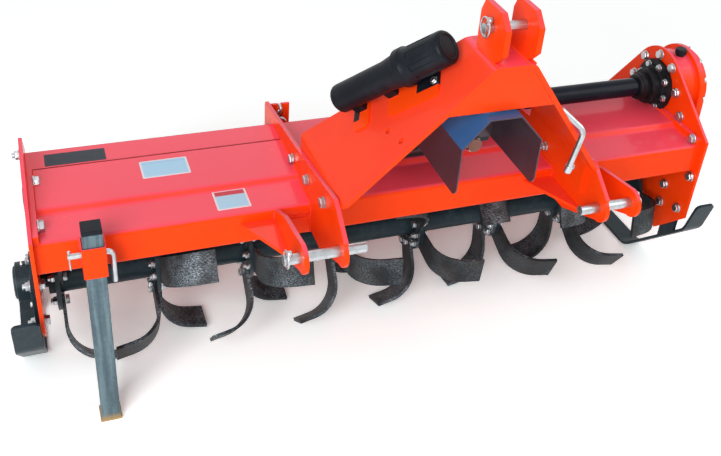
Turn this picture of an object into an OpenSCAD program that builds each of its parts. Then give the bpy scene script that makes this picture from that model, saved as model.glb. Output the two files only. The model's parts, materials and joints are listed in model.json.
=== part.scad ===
// Rotary tiller for a three-point hitch, parked on its skids and front leg.
// Working frame: x from the left end plate's inner face, y rearwards from the
// front beam's face, z up from the ground. placed() shifts it to the box centre.

/* [Overall] */
// Tilling width between the end plates
tilling_w = 1600; // [1400:10:1900]
// Thickness of the end plates
end_plate_t = 8; // [6:0.5:12]
// Drive tube axis, rearwards from the front beam's face
drive_y = 221; // [200:1:240]
// Drive tube axis above the ground
drive_z = 527; // [510:1:545]

/* [Deck] */
// Thickness of the deck sheet
deck_t = 6; // [4:0.5:8]
// Bottom of the front beam's face above the ground
beam_z = 387; // [370:1:400]
// Height of the front beam's face
beam_h = 80; // [70:1:90]
// Return lip under the front beam
beam_lip = 42; // [25:1:50]
// Depth of the front flat
front_flat = 95; // [80:1:110]
// Run of the step behind the front flat
step_run = 10; // [6:0.5:16]
// Rise of the step behind the front flat
step_rise = 11; // [6:0.5:16]
// Depth of the main flat behind the step
main_flat = 151; // [120:1:180]
// Depth of the flat part of the rear cover
rear_flat = 80; // [60:1:95]
// Run of the rear cover's slope
slope_run = 78; // [60:1:90]
// Drop of the rear cover's slope
slope_drop = 86; // [70:1:100]
// Outside radius of the sheet folds
fold_r = 10; // [9:0.5:14]
// Thickness of the deck's end bars
end_bar_t = 12; // [8:0.5:16]
// Height of the deck's end bars above the main flat
end_bar_rise = 8; // [4:0.5:14]

/* [End plates] */
// Radius of the right plate's rounded top about the drive axis
plate_top_r = 104; // [98:1:112]
// How far the end plates stand before the front beam
plate_front = 18; // [10:1:20]
// Height of the left plate's top edge over the main flat
plate_rise = 52; // [35:1:70]
// Bottom edge of the end plates above the ground
plate_z = 150; // [130:1:165]
// Rear edge of the end plates behind the front beam's face
plate_rear = 424; // [405:1:432]

/* [Hitch] */
// Hitch centre from the left end plate
hitch_x = 876; // [840:1:910]
// Spread of the lower hitch points between clevis centres
hitch_spread = 683; // [660:1:700]
// Gap between the two plates of a lower clevis
clevis_gap = 72; // [55:1:80]
// Thickness of the main plates and outer lugs
lug_t = 10; // [8:0.5:14]
// Diameter of the lower hitch pins
hitch_pin_d = 22; // [20:0.5:24]
// Lower pins in front of the beam's face
hitch_pin_y = 194; // [180:1:210]
// Lower pins above the ground
hitch_pin_z = 488; // [475:1:500]
// Metal round the lower pins
lug_r = 34; // [28:1:38]
// Mast height from the lower pins to the top pin
mast_h = 470; // [450:1:485]
// Diameter of the top link pin
top_pin_d = 19; // [17:0.5:22]
// Gap between the mast plates
mast_gap = 56; // [48:1:64]
// Thickness of the mast plates
mast_t = 12; // [10:0.5:15]

/* [Headstock] */
// Thickness of the bent headstock plate
head_t = 10; // [6:0.5:12]
// Top link pin above the headstock's flat top
top_pin_rise = 62; // [55:1:75]
// Width of the headstock's flat top
head_top_w = 82; // [82:1:96]
// Height of the fold where the side flanges start
head_fold_z = 570; // [560:1:580]
// Bottom edge of the side flanges
head_flange_z = 484; // [479:1:488]
// Front edge in front of the beam's face, at the top
head_front_top = 242; // [236:1:246]
// Front edge in front of the beam's face, at the fold
head_front_fold = 165; // [150:1:175]
// Rear edge behind the beam's face, at the fold
head_rear_fold = 125; // [110:1:140]
// Rear edge in front of the beam's face, at the top
head_rear_top = 106; // [100:1:112]
// Gap over the guard's top under the plate that closes the headstock's front
head_plate_gap = 4; // [2:0.5:10]

/* [Drive] */
// Outside radius of the drive tube
drive_tube_r = 24.5; // [22:0.5:28]
// Radius of the drive flange
drive_flange_r = 70; // [64:0.5:76]
// Thickness of the drive flange
drive_flange_t = 12; // [8:0.5:16]
// Width of the side gear case
gear_case_w = 85; // [70:1:95]
// Input shaft axis above the ground
input_z = 655; // [645:1:665]
// Diameter of the splined input shaft
input_d = 34.9; // [30:0.1:40]
// Free length of the input shaft
input_len = 76; // [65:1:85]
// Gearbox width
gearbox_w = 170; // [150:1:190]
// Front face of the gearbox in front of the beam's face
gearbox_front = 55; // [45:1:65]

/* [Input guard] */
// Thickness of the guard's sheet
guard_t = 3; // [2:0.5:4]
// Width over the guard's wings
guard_w = 176; // [172:1:190]
// Length of the guard in front of the gearbox
guard_len = 199; // [180:1:202]
// Bottom edge of the guard's wings above the ground
guard_z = 612; // [604:1:620]
// Height of the wings up to the sloping facets
guard_wing_h = 110; // [100:1:116]
// Rise of the sloping facets
guard_facet_h = 60; // [50:1:62]
// Width of the guard's flat top
guard_top_w = 70; // [60:1:80]

/* [Rotor] */
// Rotor axis behind the beam's face
rotor_y = 201; // [198:1:206]
// Rotor axis above the ground
rotor_z = 218; // [216:1:226]
// Radius over the blade tips
rotor_r = 214; // [200:1:215]
// Outside radius of the rotor tube
rotor_tube_r = 38; // [35:1:44]
// First flange from the left end plate
flange_first = 34; // [30:1:40]
// Radius of the blade flanges
flange_r = 78; // [70:1:84]
// Thickness of the blade flanges
flange_t = 10; // [8:0.5:12]
// Width of a blade
blade_w = 74; // [60:1:78]
// Width of a blade at its root
blade_root_w = 56; // [44:1:60]
// Backward sweep of a blade's tip
blade_sweep = 8; // [0:1:14]
// Thickness of a blade
blade_t = 8; // [6:0.5:9]
// Lean of a blade behind its radius
blade_lean = 15; // [0:1:20]
// Bend radius of a blade
blade_bend_r = 85; // [70:1:90]
// Bend angle of a blade
blade_bend = 80; // [70:1:85]
// Straight end of a blade after the bend
blade_end = 40; // [30:1:44]
// Radius of the stub shafts at the rotor's ends
stub_r = 22; // [18:0.5:26]

/* [Skids] */
// Width of the skids
skid_w = 56; // [50:1:64]
// Thickness of the skid plate
skid_t = 8; // [6:0.5:10]
// Start of the skid's flat run behind the beam's face
skid_flat_y = 188; // [180:1:200]
// Length of the skid's flat run
skid_flat = 205; // [180:1:215]
// Height of the skid's ramp
skid_ramp_h = 212; // [195:1:220]
// Height of the skid's upturned nose above the ramp
skid_nose_h = 92; // [70:1:105]

/* [Tailboard] */
// Thickness of the tailboard sheet
tail_t = 5; // [4:0.5:6]
// Diameter of the tailboard's hinge rod
tail_rod_d = 14; // [12:0.5:16]
// Gap between the tailboard and each end plate
tail_side_gap = 12; // [8:1:20]
// Bottom edge of the tailboard above the ground
tail_z = 92; // [80:1:110]
// Rearmost point of the tailboard behind the beam's face
tail_rear = 575; // [565:1:590]
// Thickness of the chain wire
chain_d = 7; // [6:0.5:8]
// Inside length of a chain link
chain_pitch = 26; // [26:1:30]

/* [Parking leg] */
// Middle of the leg from the left end plate
leg_x = 110; // [100:1:150]
// Width of the square leg
leg_w = 40; // [34:1:44]
// Clearance of the leg in its sleeve, each side
leg_clear = 0.5; // [0.4:0.1:1]
// Wall of the sleeve
sleeve_wall = 3; // [2:0.5:4]
// Front face of the sleeve in front of the beam's face
sleeve_front = 63; // [60:1:70]
// Height of the sleeve
sleeve_h = 75; // [60:1:80]
// Bottom of the sleeve above the ground
sleeve_z = 410; // [405:1:420]
// Height of the leg's top above the sleeve
leg_stand = 30; // [26:1:44]

/* [Document tube] */
// Radius of the tube's body
tube_r = 31; // [28:1:34]
// Radius of the tube's cap
cap_r = 36.5; // [34:0.5:39]
// Overall length of the tube
tube_len = 299; // [290:1:320]
// Length of the cap
cap_len = 118; // [105:1:130]

/* [Hidden] */

// Overrun of every cut
cut = 2;
// Running clearance of a shaft or rod in its bore, on the radius
run_clear = 0.05;
// Gap left between a moving face and its seat
seat_gap = 0.3;
// Facets of the rounded outlines
round_fn = 48;

paint = "orangered";
steel = "slategray";
zinc = "silver";
black = [0.08, 0.08, 0.09];

// Deck heights and depths
front_z = beam_z + beam_h;
main_z = front_z + step_rise;
main_y = front_flat + step_run;
cover_y = main_y + main_flat;
cover_drop = 3;
cover_gap = 2;
cover_fold_r = 20;
cover_z = main_z - cover_drop;
crest_y = cover_y + rear_flat;
slope_y = crest_y + slope_run;
slope_z = cover_z - slope_drop;

// Hitch places
left_pin_x = hitch_x - hitch_spread / 2;
right_pin_x = hitch_x + hitch_spread / 2;
main_off = hitch_spread / 2 - clevis_gap / 2;
lug_off = hitch_spread / 2 + clevis_gap / 2;
pin_y = -hitch_pin_y;
top_pin_z = hitch_pin_z + mast_h;

// Headstock lines
head_top_z = top_pin_z - top_pin_rise;
head_plate_z = guard_z + guard_wing_h + guard_facet_h + head_plate_gap;
head_foot_off = main_off - lug_t;
head_top_off = head_top_w / 2;
head_rise = head_top_z - head_fold_z;
head_front_share = (head_front_top - head_front_fold) / head_rise;
head_rear_share = (head_rear_top + head_rear_fold) / head_rise;
head_run = head_foot_off - head_top_off;
head_slope = atan2(head_rise, head_run);
function head_front_y(z) = -head_front_fold - (z - head_fold_z) * head_front_share;
function head_rear_y(z) = head_rear_fold - (z - head_fold_z) * head_rear_share;
function head_off(z) = head_foot_off - (z - head_fold_z) * head_run / head_rise;

// Mast plate outline
mast_front = 250;
mast_back = 146;
mast_top = 40;
mast_chamfer = 26;
top_pin_y = -198;

// Skid outline
skid_nose_lean = 24;
skid_ramp_y = skid_flat_y - skid_ramp_h;
skid_heel_run = 36;
skid_heel_h = 34;
skid_fold_r = 55;
skid_bar_w = 52;
skid_bar_t = 10;
skid_front_bar_y = 16;
skid_rear_bar_y = 338;
skid_bar_top = 345;

// Tailboard hinge and outline
tail_hinge_back = 30;
tail_hinge_drop = 14;
tail_hinge_y = slope_y + tail_hinge_back;
tail_hinge_z = slope_z - tail_hinge_drop;
tail_rod_r = tail_rod_d / 2;
tail_knuckle_r = 13;
tail_knuckle_len = 60;
tail_lug_t = 8;
tail_knuckle_shares = [0.12, 0.33, 0.62, 0.88];
tail_lug_shares = [0.06, 0.25, 0.5, 0.75, 0.94];
tail_lip = 26;
tail_mid_run = 72;
tail_mid_drop = 142;
tail_fold_r = 20;

// Box of the parked machine
box_left = -end_plate_t - skid_w;
box_right = tilling_w + end_plate_t + gear_case_w;
box_front = -mast_front;
box_rear = tail_rear;
mid_x = (box_left + box_right) / 2;
mid_y = (box_front + box_rear) / 2;

// Unit vector along v
function unit(v) = v / norm(v);
// Normal on the left of the way from a to b
function left_normal(a, b) = let (d = unit(b - a)) [-d[1], d[0]];
// Point i of a line moved sideways by t, mitred at the corners
function side_point(pts, i, t) =
    let (last = len(pts) - 1,
         n0 = i > 0 ? left_normal(pts[i - 1], pts[i]) : left_normal(pts[0], pts[1]),
         n1 = i < last ? left_normal(pts[i], pts[i + 1]) : n0,
         m = unit(n0 + n1))
    pts[i] + m * t / (m * n0);
// Closed outline of a sheet of thickness t along a line
function strip(pts, t) =
    concat(pts, [for (i = [len(pts) - 1:-1:0]) side_point(pts, i, t)]);
// Arc of radius r that rounds the corner b between a and c
function bend(a, b, c, r, steps) =
    let (u = unit(a - b), v = unit(c - b), half = acos(u * v) / 2,
         centre = b + unit(u + v) * r / sin(half),
         p0 = b + u * r / tan(half) - centre,
         p1 = b + v * r / tan(half) - centre,
         a0 = atan2(p0[1], p0[0]),
         turn = (atan2(p1[1], p1[0]) - a0 + 540) % 360 - 180)
    [for (k = [0:steps]) centre + r * [cos(a0 + turn * k / steps), sin(a0 + turn * k / steps)]];
// Line with its inner corners rounded
function rounded(pts, r, steps = 4) =
    [pts[0],
     for (i = [1:len(pts) - 2]) each bend(pts[i - 1], pts[i], pts[i + 1], r, steps),
     pts[len(pts) - 1]];

// Move the working frame to the middle of the parked machine's box
module placed() { translate([-mid_x, -mid_y, 0]) children(); }
// Outline in (y, z) as a plate from x0 along x
module plate_x(x0, t) { translate([x0, 0, 0]) rotate([90, 0, 90]) linear_extrude(t) children(); }
// Outline in (x, z) as a plate from y0 along y
module plate_y(y0, t) { translate([0, y0 + t, 0]) rotate([90, 0, 0]) linear_extrude(t) children(); }
// Outline in (x, y) as a plate from z0 along z
module plate_z(z0, t) { translate([0, 0, z0]) linear_extrude(t) children(); }
// Round bar along x from x0
module bar_x(x0, len, r, y, z) {
    translate([x0, y, z]) rotate([0, 90, 0]) cylinder(h = len, r = r, $fn = round_fn);
}
// Round bar along y from y0
module bar_y(y0, len, r, x, z) {
    translate([x, y0, z]) rotate([-90, 0, 0]) cylinder(h = len, r = r, $fn = round_fn);
}
// Round bar between two points
module rod(a, b, r) {
    d = b - a;
    translate(a)
        rotate([0, acos(d[2] / norm(d)), atan2(d[1], d[0])])
        cylinder(h = norm(d), r = r, $fn = round_fn);
}
// Copy of the children mirrored across the hitch centre
module mirrored() { translate([2 * hitch_x, 0, 0]) mirror([1, 0, 0]) children(); }

// Room for the drive flange at the right end of the deck, cover and end bar
notch_gap = 1;
module drive_notch() {
    bar_x(tilling_w - drive_flange_t - notch_gap, drive_flange_t + notch_gap + cut,
          drive_flange_r + notch_gap, drive_y, drive_z);
}

// Top line of the rear cover from front to back
cover_line = rounded([[cover_y + cover_gap, cover_z], [crest_y, cover_z], [slope_y, slope_z]], cover_fold_r);

// Deck sheet with its front beam face, step and main flat
module deck() {
    line = rounded([[beam_lip, beam_z], [0, beam_z], [0, front_z], [front_flat, front_z],
                    [main_y, main_z], [cover_y, main_z]], fold_r);
    color(paint) placed() difference() {
        plate_x(0, tilling_w) polygon(strip(line, -deck_t));
        drive_notch();
    }
}

// Rear cover that carries on behind the deck and slopes down to the tailboard
module rear_cover() {
    color(paint) placed() difference() {
        plate_x(0, tilling_w) polygon(strip(cover_line, -deck_t));
        drive_notch();
    }
}

// Lower outline that both end plates share
plate_nose_z = 250;
plate_chin_y = 80;
plate_heel_y = 332;
plate_heel_z = 290;
plate_back_z = 430;
plate_shoulder_z = 484;
plate_crown_y = 180;
plate_crown_len = 130;
stub_hole_gap = 12;
stub_hole_r = stub_r + stub_hole_gap;
module end_plate_low() {
    polygon([[-plate_front, plate_shoulder_z], [-plate_front, plate_nose_z], [plate_chin_y, plate_z],
             [plate_heel_y, plate_z], [plate_rear, plate_heel_z], [plate_rear, plate_back_z]]);
}

// Left end plate with its raised top edge and the hole for the rotor's stub shaft
module left_end_plate() {
    top = main_z + plate_rise;
    color(paint) placed() difference() {
        plate_x(-end_plate_t, end_plate_t) hull() {
            end_plate_low();
            polygon([[plate_crown_y, top], [plate_crown_y + plate_crown_len, top],
                     [plate_rear, plate_back_z]]);
        }
        bar_x(-end_plate_t - cut, end_plate_t + 2 * cut, stub_hole_r, rotor_y, rotor_z);
    }
}

// Right end plate, rounded over the drive axis
module right_end_plate() {
    color(paint) placed() difference() {
        plate_x(tilling_w, end_plate_t) hull() {
            end_plate_low();
            translate([drive_y, drive_z]) circle(plate_top_r, $fn = round_fn);
        }
        bar_x(tilling_w - cut, end_plate_t + 2 * cut, stub_hole_r, rotor_y, rotor_z);
    }
}

// Bars on the deck's ends, bolted to the end plates
module end_bar(x0) {
    bar_top = main_z + end_bar_rise;
    line = rounded([[0, front_z], [front_flat, front_z], [main_y, main_z], [cover_y, main_z]], fold_r);
    plate_x(x0, end_bar_t) polygon(concat(line, [[cover_y, bar_top], [0, bar_top]]));
}
module left_end_bar() { color(paint) placed() end_bar(0); }
module right_end_bar() {
    color(paint) placed() difference() {
        end_bar(tilling_w - end_bar_t);
        drive_notch();
    }
}

// Side gear case outside the right end plate, with the rotor's blind bore
gear_low_r = 84;
gear_top_r = 92;
gear_rim = 12;
gear_rim_w = 16;
gear_rim_in = 32;
gear_bore_deep = 40;
module gear_case_outline(grow) {
    hull() {
        translate([drive_y, drive_z]) circle(gear_top_r + grow, $fn = round_fn);
        translate([rotor_y, rotor_z]) circle(gear_low_r + grow, $fn = round_fn);
    }
}
module gear_case() {
    x0 = tilling_w + end_plate_t;
    color(paint) placed() difference() {
        union() {
            plate_x(x0, gear_case_w) gear_case_outline(0);
            plate_x(x0 + gear_case_w - gear_rim_in, gear_rim_w) gear_case_outline(gear_rim);
        }
        bar_x(x0 - cut, gear_bore_deep + cut, stub_r + run_clear, rotor_y, rotor_z);
    }
}

// Left rotor bearing bolted outside the left end plate
bearing_flange_r = 66;
bearing_flange_t = 12;
bearing_hub_r = 46;
bearing_hub_len = 44;
module left_bearing() {
    x0 = -end_plate_t;
    color(steel) placed() difference() {
        union() {
            bar_x(x0 - bearing_flange_t, bearing_flange_t, bearing_flange_r, rotor_y, rotor_z);
            bar_x(x0 - bearing_hub_len, bearing_hub_len, bearing_hub_r, rotor_y, rotor_z);
        }
        bar_x(x0 - gear_bore_deep, gear_bore_deep + cut, stub_r + run_clear, rotor_y, rotor_z);
    }
}

// Flange and stepped hub of the drive tube on the right end plate
drive_hub_r = 44;
drive_hub_len = 30;
drive_neck_r = 33;
drive_neck_len = 26;
drive_end_x = tilling_w - drive_flange_t - drive_hub_len - drive_neck_len;
module drive_flange() {
    color(black) placed() {
        bar_x(tilling_w - drive_flange_t, drive_flange_t, drive_flange_r, drive_y, drive_z);
        bar_x(tilling_w - drive_flange_t - drive_hub_len, drive_hub_len, drive_hub_r, drive_y, drive_z);
        bar_x(drive_end_x, drive_neck_len, drive_neck_r, drive_y, drive_z);
    }
}

// Tube that houses the drive shaft between the gearbox and the side gear case
gearbox_boss_len = 46;
gearbox_right = hitch_x + gearbox_w / 2;
drive_start_x = gearbox_right + gearbox_boss_len;
module drive_tube() {
    color(steel) placed() bar_x(drive_start_x, drive_end_x - drive_start_x, drive_tube_r, drive_y, drive_z);
}

// Gearbox block on its foot, with the input nose and the side boss
gearbox_foot_t = 12;
gearbox_foot_edge = 24;
gearbox_foot_gap = 4;
gearbox_rear = 298;
gearbox_top = 736;
gearbox_low = main_z + gearbox_foot_t;
gearbox_mid = 600;
gearbox_boss_r = 46;
gearbox_nose_r = 48;
gearbox_nose_len = 16;
gearbox_bore_deep = 60;
input_journal_r = 20;
shaft_end_gap = 2;
module gearbox() {
    left = hitch_x - gearbox_w / 2;
    front = -gearbox_front + gearbox_nose_len;
    color(steel) placed() difference() {
        union() {
            plate_z(main_z, gearbox_foot_t)
                translate([left - gearbox_foot_edge, main_y + gearbox_foot_gap])
                square([gearbox_w + 2 * gearbox_foot_edge, main_flat - 2 * gearbox_foot_gap]);
            plate_x(left, gearbox_w)
                polygon([[front, gearbox_mid], [front, gearbox_top], [drive_y, gearbox_top],
                         [gearbox_rear, gearbox_mid], [gearbox_rear, gearbox_low], [main_y, gearbox_low]]);
            bar_x(gearbox_right, gearbox_boss_len, gearbox_boss_r, drive_y, drive_z);
            bar_y(-gearbox_front, gearbox_nose_len, gearbox_nose_r, hitch_x, input_z);
        }
        bar_y(-gearbox_front - cut, gearbox_bore_deep + cut, input_journal_r + run_clear, hitch_x, input_z);
    }
}

// Input shaft with its journal in the gearbox's nose
module input_shaft() {
    color(zinc) placed() {
        bar_y(-gearbox_front - input_len, input_len, input_d / 2, hitch_x, input_z);
        bar_y(-gearbox_front, gearbox_bore_deep - shaft_end_gap, input_journal_r, hitch_x, input_z);
    }
}

// Sheet guard over the input shaft: two wings, sloping facets, flat top and a cut-out back wall
guard_hole_r = 50;
guard_corner_r = 20;
guard_corner_steps = 8;
module input_guard() {
    half = guard_w / 2;
    wing_top = guard_z + guard_wing_h;
    top = wing_top + guard_facet_h;
    back = -gearbox_front + gearbox_nose_len;
    front = back - guard_len;
    corner = bend([front, wing_top], [front, guard_z], [back, guard_z], guard_corner_r, guard_corner_steps);
    line = [[hitch_x - half, guard_z], [hitch_x - half, wing_top], [hitch_x - guard_top_w / 2, top],
            [hitch_x + guard_top_w / 2, top], [hitch_x + half, wing_top], [hitch_x + half, guard_z]];
    color(steel) placed() {
        difference() {
            plate_y(front, guard_len) polygon(strip(line, -guard_t));
            plate_x(hitch_x - half - cut, guard_w + 2 * cut)
                polygon(concat([[front + guard_corner_r, guard_z - cut], [front - cut, guard_z - cut],
                                [front - cut, guard_z + guard_corner_r]], corner));
        }
        difference() {
            plate_y(back - guard_t, guard_t) polygon(line);
            bar_y(back - guard_t - cut, guard_t + 2 * cut, guard_hole_r, hitch_x, input_z);
            translate([hitch_x - guard_hole_r, back - guard_t - cut, guard_z - cut])
                cube([2 * guard_hole_r, guard_t + 2 * cut, input_z - guard_z + cut]);
        }
    }
}

// Long upright plate over the deck that ends in the inner lug of a lower clevis
lug_nose_share = 0.7;
main_crest_y = -140;
main_crest_z = 578;
main_rear_in = 6;
main_rear_y = slope_y - main_rear_in;
main_rear_z = 495;
main_waist_y = 128;
main_waist_z = 532;
main_under_y = -66;
main_under_z = 398;
module main_plate_outline() {
    over = rounded([[0, front_z], [front_flat, front_z], [main_y, main_z], [cover_y, main_z]], fold_r);
    union() {
        polygon(concat(
            [[0, main_under_z], [0, front_z]],
            over,
            [[cover_y, cover_z], for (p = cover_line) if (p[0] < main_rear_y) p],
            [[main_rear_y, slope_z + (slope_y - main_rear_y) * slope_drop / slope_run],
             [main_rear_y, main_rear_z], [main_waist_y, main_waist_z], [main_crest_y, main_crest_z],
             [pin_y - lug_r * lug_nose_share, hitch_pin_z + lug_r], [pin_y, hitch_pin_z - lug_r],
             [main_under_y, main_under_z]]));
        translate([pin_y, hitch_pin_z]) circle(lug_r, $fn = round_fn);
    }
}
module main_plate() {
    difference() {
        plate_x(hitch_x - main_off, lug_t) main_plate_outline();
        bar_x(hitch_x - main_off - cut, lug_t + 2 * cut, hitch_pin_d / 2 + run_clear, pin_y, hitch_pin_z);
    }
}
module left_main_plate() { color(paint) placed() main_plate(); }
// The right plate has a round notch for the drive tube
main_tube_gap = 6;
module right_main_plate() {
    color(paint) placed() difference() {
        mirrored() main_plate();
        bar_x(hitch_x + main_off - lug_t - cut, lug_t + 2 * cut, drive_tube_r + main_tube_gap, drive_y, drive_z);
    }
}

// Outer lug of a lower clevis on the front beam
lug_root_low = 396;
lug_shoulder_y = -72;
module outer_lug() {
    difference() {
        plate_x(hitch_x - lug_off - lug_t, lug_t) union() {
            polygon([[0, lug_root_low], [0, front_z], [lug_shoulder_y, front_z + lug_r],
                     [pin_y, hitch_pin_z + lug_r], [pin_y, hitch_pin_z - lug_r],
                     [main_under_y, lug_root_low]]);
            translate([pin_y, hitch_pin_z]) circle(lug_r, $fn = round_fn);
        }
        bar_x(hitch_x - lug_off - lug_t - cut, lug_t + 2 * cut, hitch_pin_d / 2 + run_clear,
              pin_y, hitch_pin_z);
    }
}
module left_outer_lug() { color(paint) placed() outer_lug(); }
module right_outer_lug() { color(paint) placed() mirrored() outer_lug(); }

// Level three-cornered gussets between the beam's face and the lugs
gusset_z = 436;
gusset_t = 8;
gusset_reach = 140;
gusset_run = 75;
module hitch_gussets() {
    left_face = hitch_x - lug_off - lug_t;
    right_face = hitch_x + main_off - lug_t;
    color(paint) placed() plate_z(gusset_z, gusset_t)
        for (face = [left_face, right_face])
            polygon([[face, 0], [face - gusset_run, 0], [face, -gusset_reach]]);
}

// Bent headstock plate: side flanges, sloping panels and flat top
head_fold_r = 20;
head_line = rounded([[hitch_x - head_foot_off, head_flange_z], [hitch_x - head_foot_off, head_fold_z],
                     [hitch_x - head_top_off, head_top_z], [hitch_x + head_top_off, head_top_z],
                     [hitch_x + head_foot_off, head_fold_z], [hitch_x + head_foot_off, head_flange_z]],
                    head_fold_r);
module headstock_plate() {
    flange_front = head_front_fold - lug_r;
    intersection() {
        plate_y(-mast_front, mast_front + drive_y) polygon(strip(head_line, -head_t));
        plate_x(hitch_x - head_foot_off - cut, 2 * (head_foot_off + cut))
            polygon([[-head_front_top, head_top_z], [-head_front_fold, head_fold_z],
                     [-flange_front, head_fold_z - lug_t], [-flange_front, head_flange_z],
                     [head_rear_fold, head_flange_z], [head_rear_fold, head_fold_z],
                     [-head_rear_top, head_top_z]]);
    }
}
module headstock() { color(paint) placed() headstock_plate(); }

// Plate that closes the headstock's upper front, flush between its panels
module headstock_front() {
    inside = [for (i = [0:len(head_line) - 1]) side_point(head_line, i, -head_t)];
    color(paint) placed() intersection() {
        plate_y(-mast_front, mast_front) polygon(inside);
        plate_x(hitch_x - head_foot_off, 2 * head_foot_off)
            polygon([[-head_front_top, head_top_z], [head_front_y(head_plate_z), head_plate_z],
                     [head_front_y(head_plate_z) + head_t, head_plate_z],
                     [-head_front_top + head_t, head_top_z]]);
    }
}

// Mast plates that hold the top link pin
module mast_plate(x0) {
    base = head_top_z;
    top = top_pin_z + mast_top;
    difference() {
        plate_x(x0, mast_t)
            polygon([[-mast_front + mast_chamfer, base], [-mast_front, base + mast_chamfer],
                     [-mast_front, top - mast_chamfer], [-mast_front + mast_chamfer, top],
                     [-mast_back - mast_chamfer / 2, top], [-mast_back, top - mast_chamfer],
                     [-mast_back, base]]);
        bar_x(x0 - cut, mast_t + 2 * cut, top_pin_d / 2 + run_clear, top_pin_y, top_pin_z);
    }
}
module left_mast_plate() { color(paint) placed() mast_plate(hitch_x - mast_gap / 2 - mast_t); }
module right_mast_plate() { color(paint) placed() mast_plate(hitch_x + mast_gap / 2); }

// Top link pin with its head on the right and a collar on the left
pin_head_t = 6;
pin_head_r = 15;
pin_over = 18;
module top_link_pin() {
    half = mast_gap / 2 + mast_t;
    color(zinc) placed() {
        bar_x(hitch_x - half - pin_over, 2 * half + pin_over, top_pin_d / 2, top_pin_y, top_pin_z);
        bar_x(hitch_x + half, pin_head_t, pin_head_r, top_pin_y, top_pin_z);
    }
}

// Lower hitch pins with a long inner end
hitch_pin_over = 34;
hitch_pin_tail = 46;
hitch_pin_end = 17;
module hitch_pin(inner, outer) {
    bar_x(min(inner, outer), abs(outer - inner), hitch_pin_d / 2, pin_y, hitch_pin_z);
}
module left_hitch_pin() {
    inner = hitch_x - main_off + lug_t + hitch_pin_tail;
    outer = hitch_x - lug_off - lug_t - hitch_pin_over;
    color(zinc) placed() hitch_pin(inner, outer);
}
module right_hitch_pin() {
    inner = hitch_x + main_off - lug_t - hitch_pin_tail;
    outer = hitch_x + lug_off + lug_t + hitch_pin_end;
    color(zinc) placed() hitch_pin(inner, outer);
}

// Square sleeve of the parking leg with its two side cheeks to the beam
sleeve_in = leg_w + 2 * leg_clear;
sleeve_out = sleeve_in + 2 * sleeve_wall;
leg_y = -sleeve_front + sleeve_out / 2;
module leg_sleeve() {
    color(paint) placed() {
        plate_z(sleeve_z, sleeve_h) difference() {
            translate([leg_x - sleeve_out / 2, -sleeve_front]) square([sleeve_out, sleeve_out]);
            translate([leg_x - sleeve_in / 2, leg_y - sleeve_in / 2]) square([sleeve_in, sleeve_in]);
        }
        translate([leg_x - sleeve_out / 2, -sleeve_front + sleeve_out, sleeve_z])
            cube([sleeve_out, sleeve_front - sleeve_out, min(sleeve_h, front_z - sleeve_z)]);
    }
}

// Square leg with a black plug on top and a foot below
leg_cap_t = 10;
leg_foot_t = 8;
leg_foot_edge = 6;
module park_leg() {
    leg_top = sleeve_z + sleeve_h + leg_stand;
    foot = leg_w + leg_foot_edge;
    color("lightslategray") placed() {
        translate([leg_x - leg_w / 2, leg_y - leg_w / 2, 0]) cube([leg_w, leg_w, leg_top]);
        translate([leg_x - foot / 2, leg_y - foot / 2, 0]) cube([foot, foot, leg_foot_t]);
    }
}

// Black plug in the leg's top
module leg_cap() {
    leg_top = sleeve_z + sleeve_h + leg_stand;
    color(black) placed()
        translate([leg_x - leg_w / 2, leg_y - leg_w / 2, leg_top])
        cube([leg_w, leg_w, leg_cap_t]);
}

// Bent locking pin of the leg, in the sleeve's walls
leg_pin_r = 6;
leg_pin_share = 0.62;
leg_pin_z = sleeve_z + sleeve_h * leg_pin_share;
leg_pin_out = 26;
leg_pin_drop = 78;
module leg_pin() {
    left = leg_x - sleeve_out / 2;
    right = leg_x + sleeve_out / 2;
    color(zinc) placed() {
        bar_x(left - leg_pin_out, leg_pin_out, leg_pin_r, leg_y, leg_pin_z);
        bar_x(right, leg_pin_out / 2 + leg_pin_r, leg_pin_r, leg_y, leg_pin_z);
        translate([right + leg_pin_out / 2, leg_y, leg_pin_z - leg_pin_drop])
            cylinder(h = leg_pin_drop, r = leg_pin_r, $fn = round_fn);
    }
}

// Document tube on the headstock's left panel: a frame along the tube's own axis
tube_up = 46.5;
tube_turn = 35;
tube_top_in = 31;
tube_front_off = 40;
panel_len = norm([head_run, head_rise]);
module on_panel() {
    translate([hitch_x - head_foot_off, 0, head_fold_z])
        rotate([0, -head_slope, 0])
        children();
}
module tube_frame() {
    on_panel()
        translate([panel_len - tube_top_in, -head_rear_top - tube_front_off, tube_up])
        rotate([0, 0, -tube_turn])
        translate([-tube_len, 0, 0])
        rotate([0, 90, 0])
        children();
}
// Body with a rounded foot and a flare under the cap
tube_steps = 5;
tube_foot_r = 10;
tube_flare = 3;
tube_flare_low_share = 0.78;
tube_flare_high_share = 0.92;
module document_tube() {
    body = tube_len - cap_len;
    wide = tube_r + tube_flare;
    foot = bend([0, 0], [tube_r, 0], [tube_r, body], tube_foot_r, tube_steps);
    color(black) placed() tube_frame() rotate_extrude($fn = round_fn)
        polygon(concat([[0, 0]], foot, [[tube_r, body * tube_flare_low_share],
                                       [wide, body * tube_flare_high_share], [wide, body], [0, body]]));
}
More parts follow.
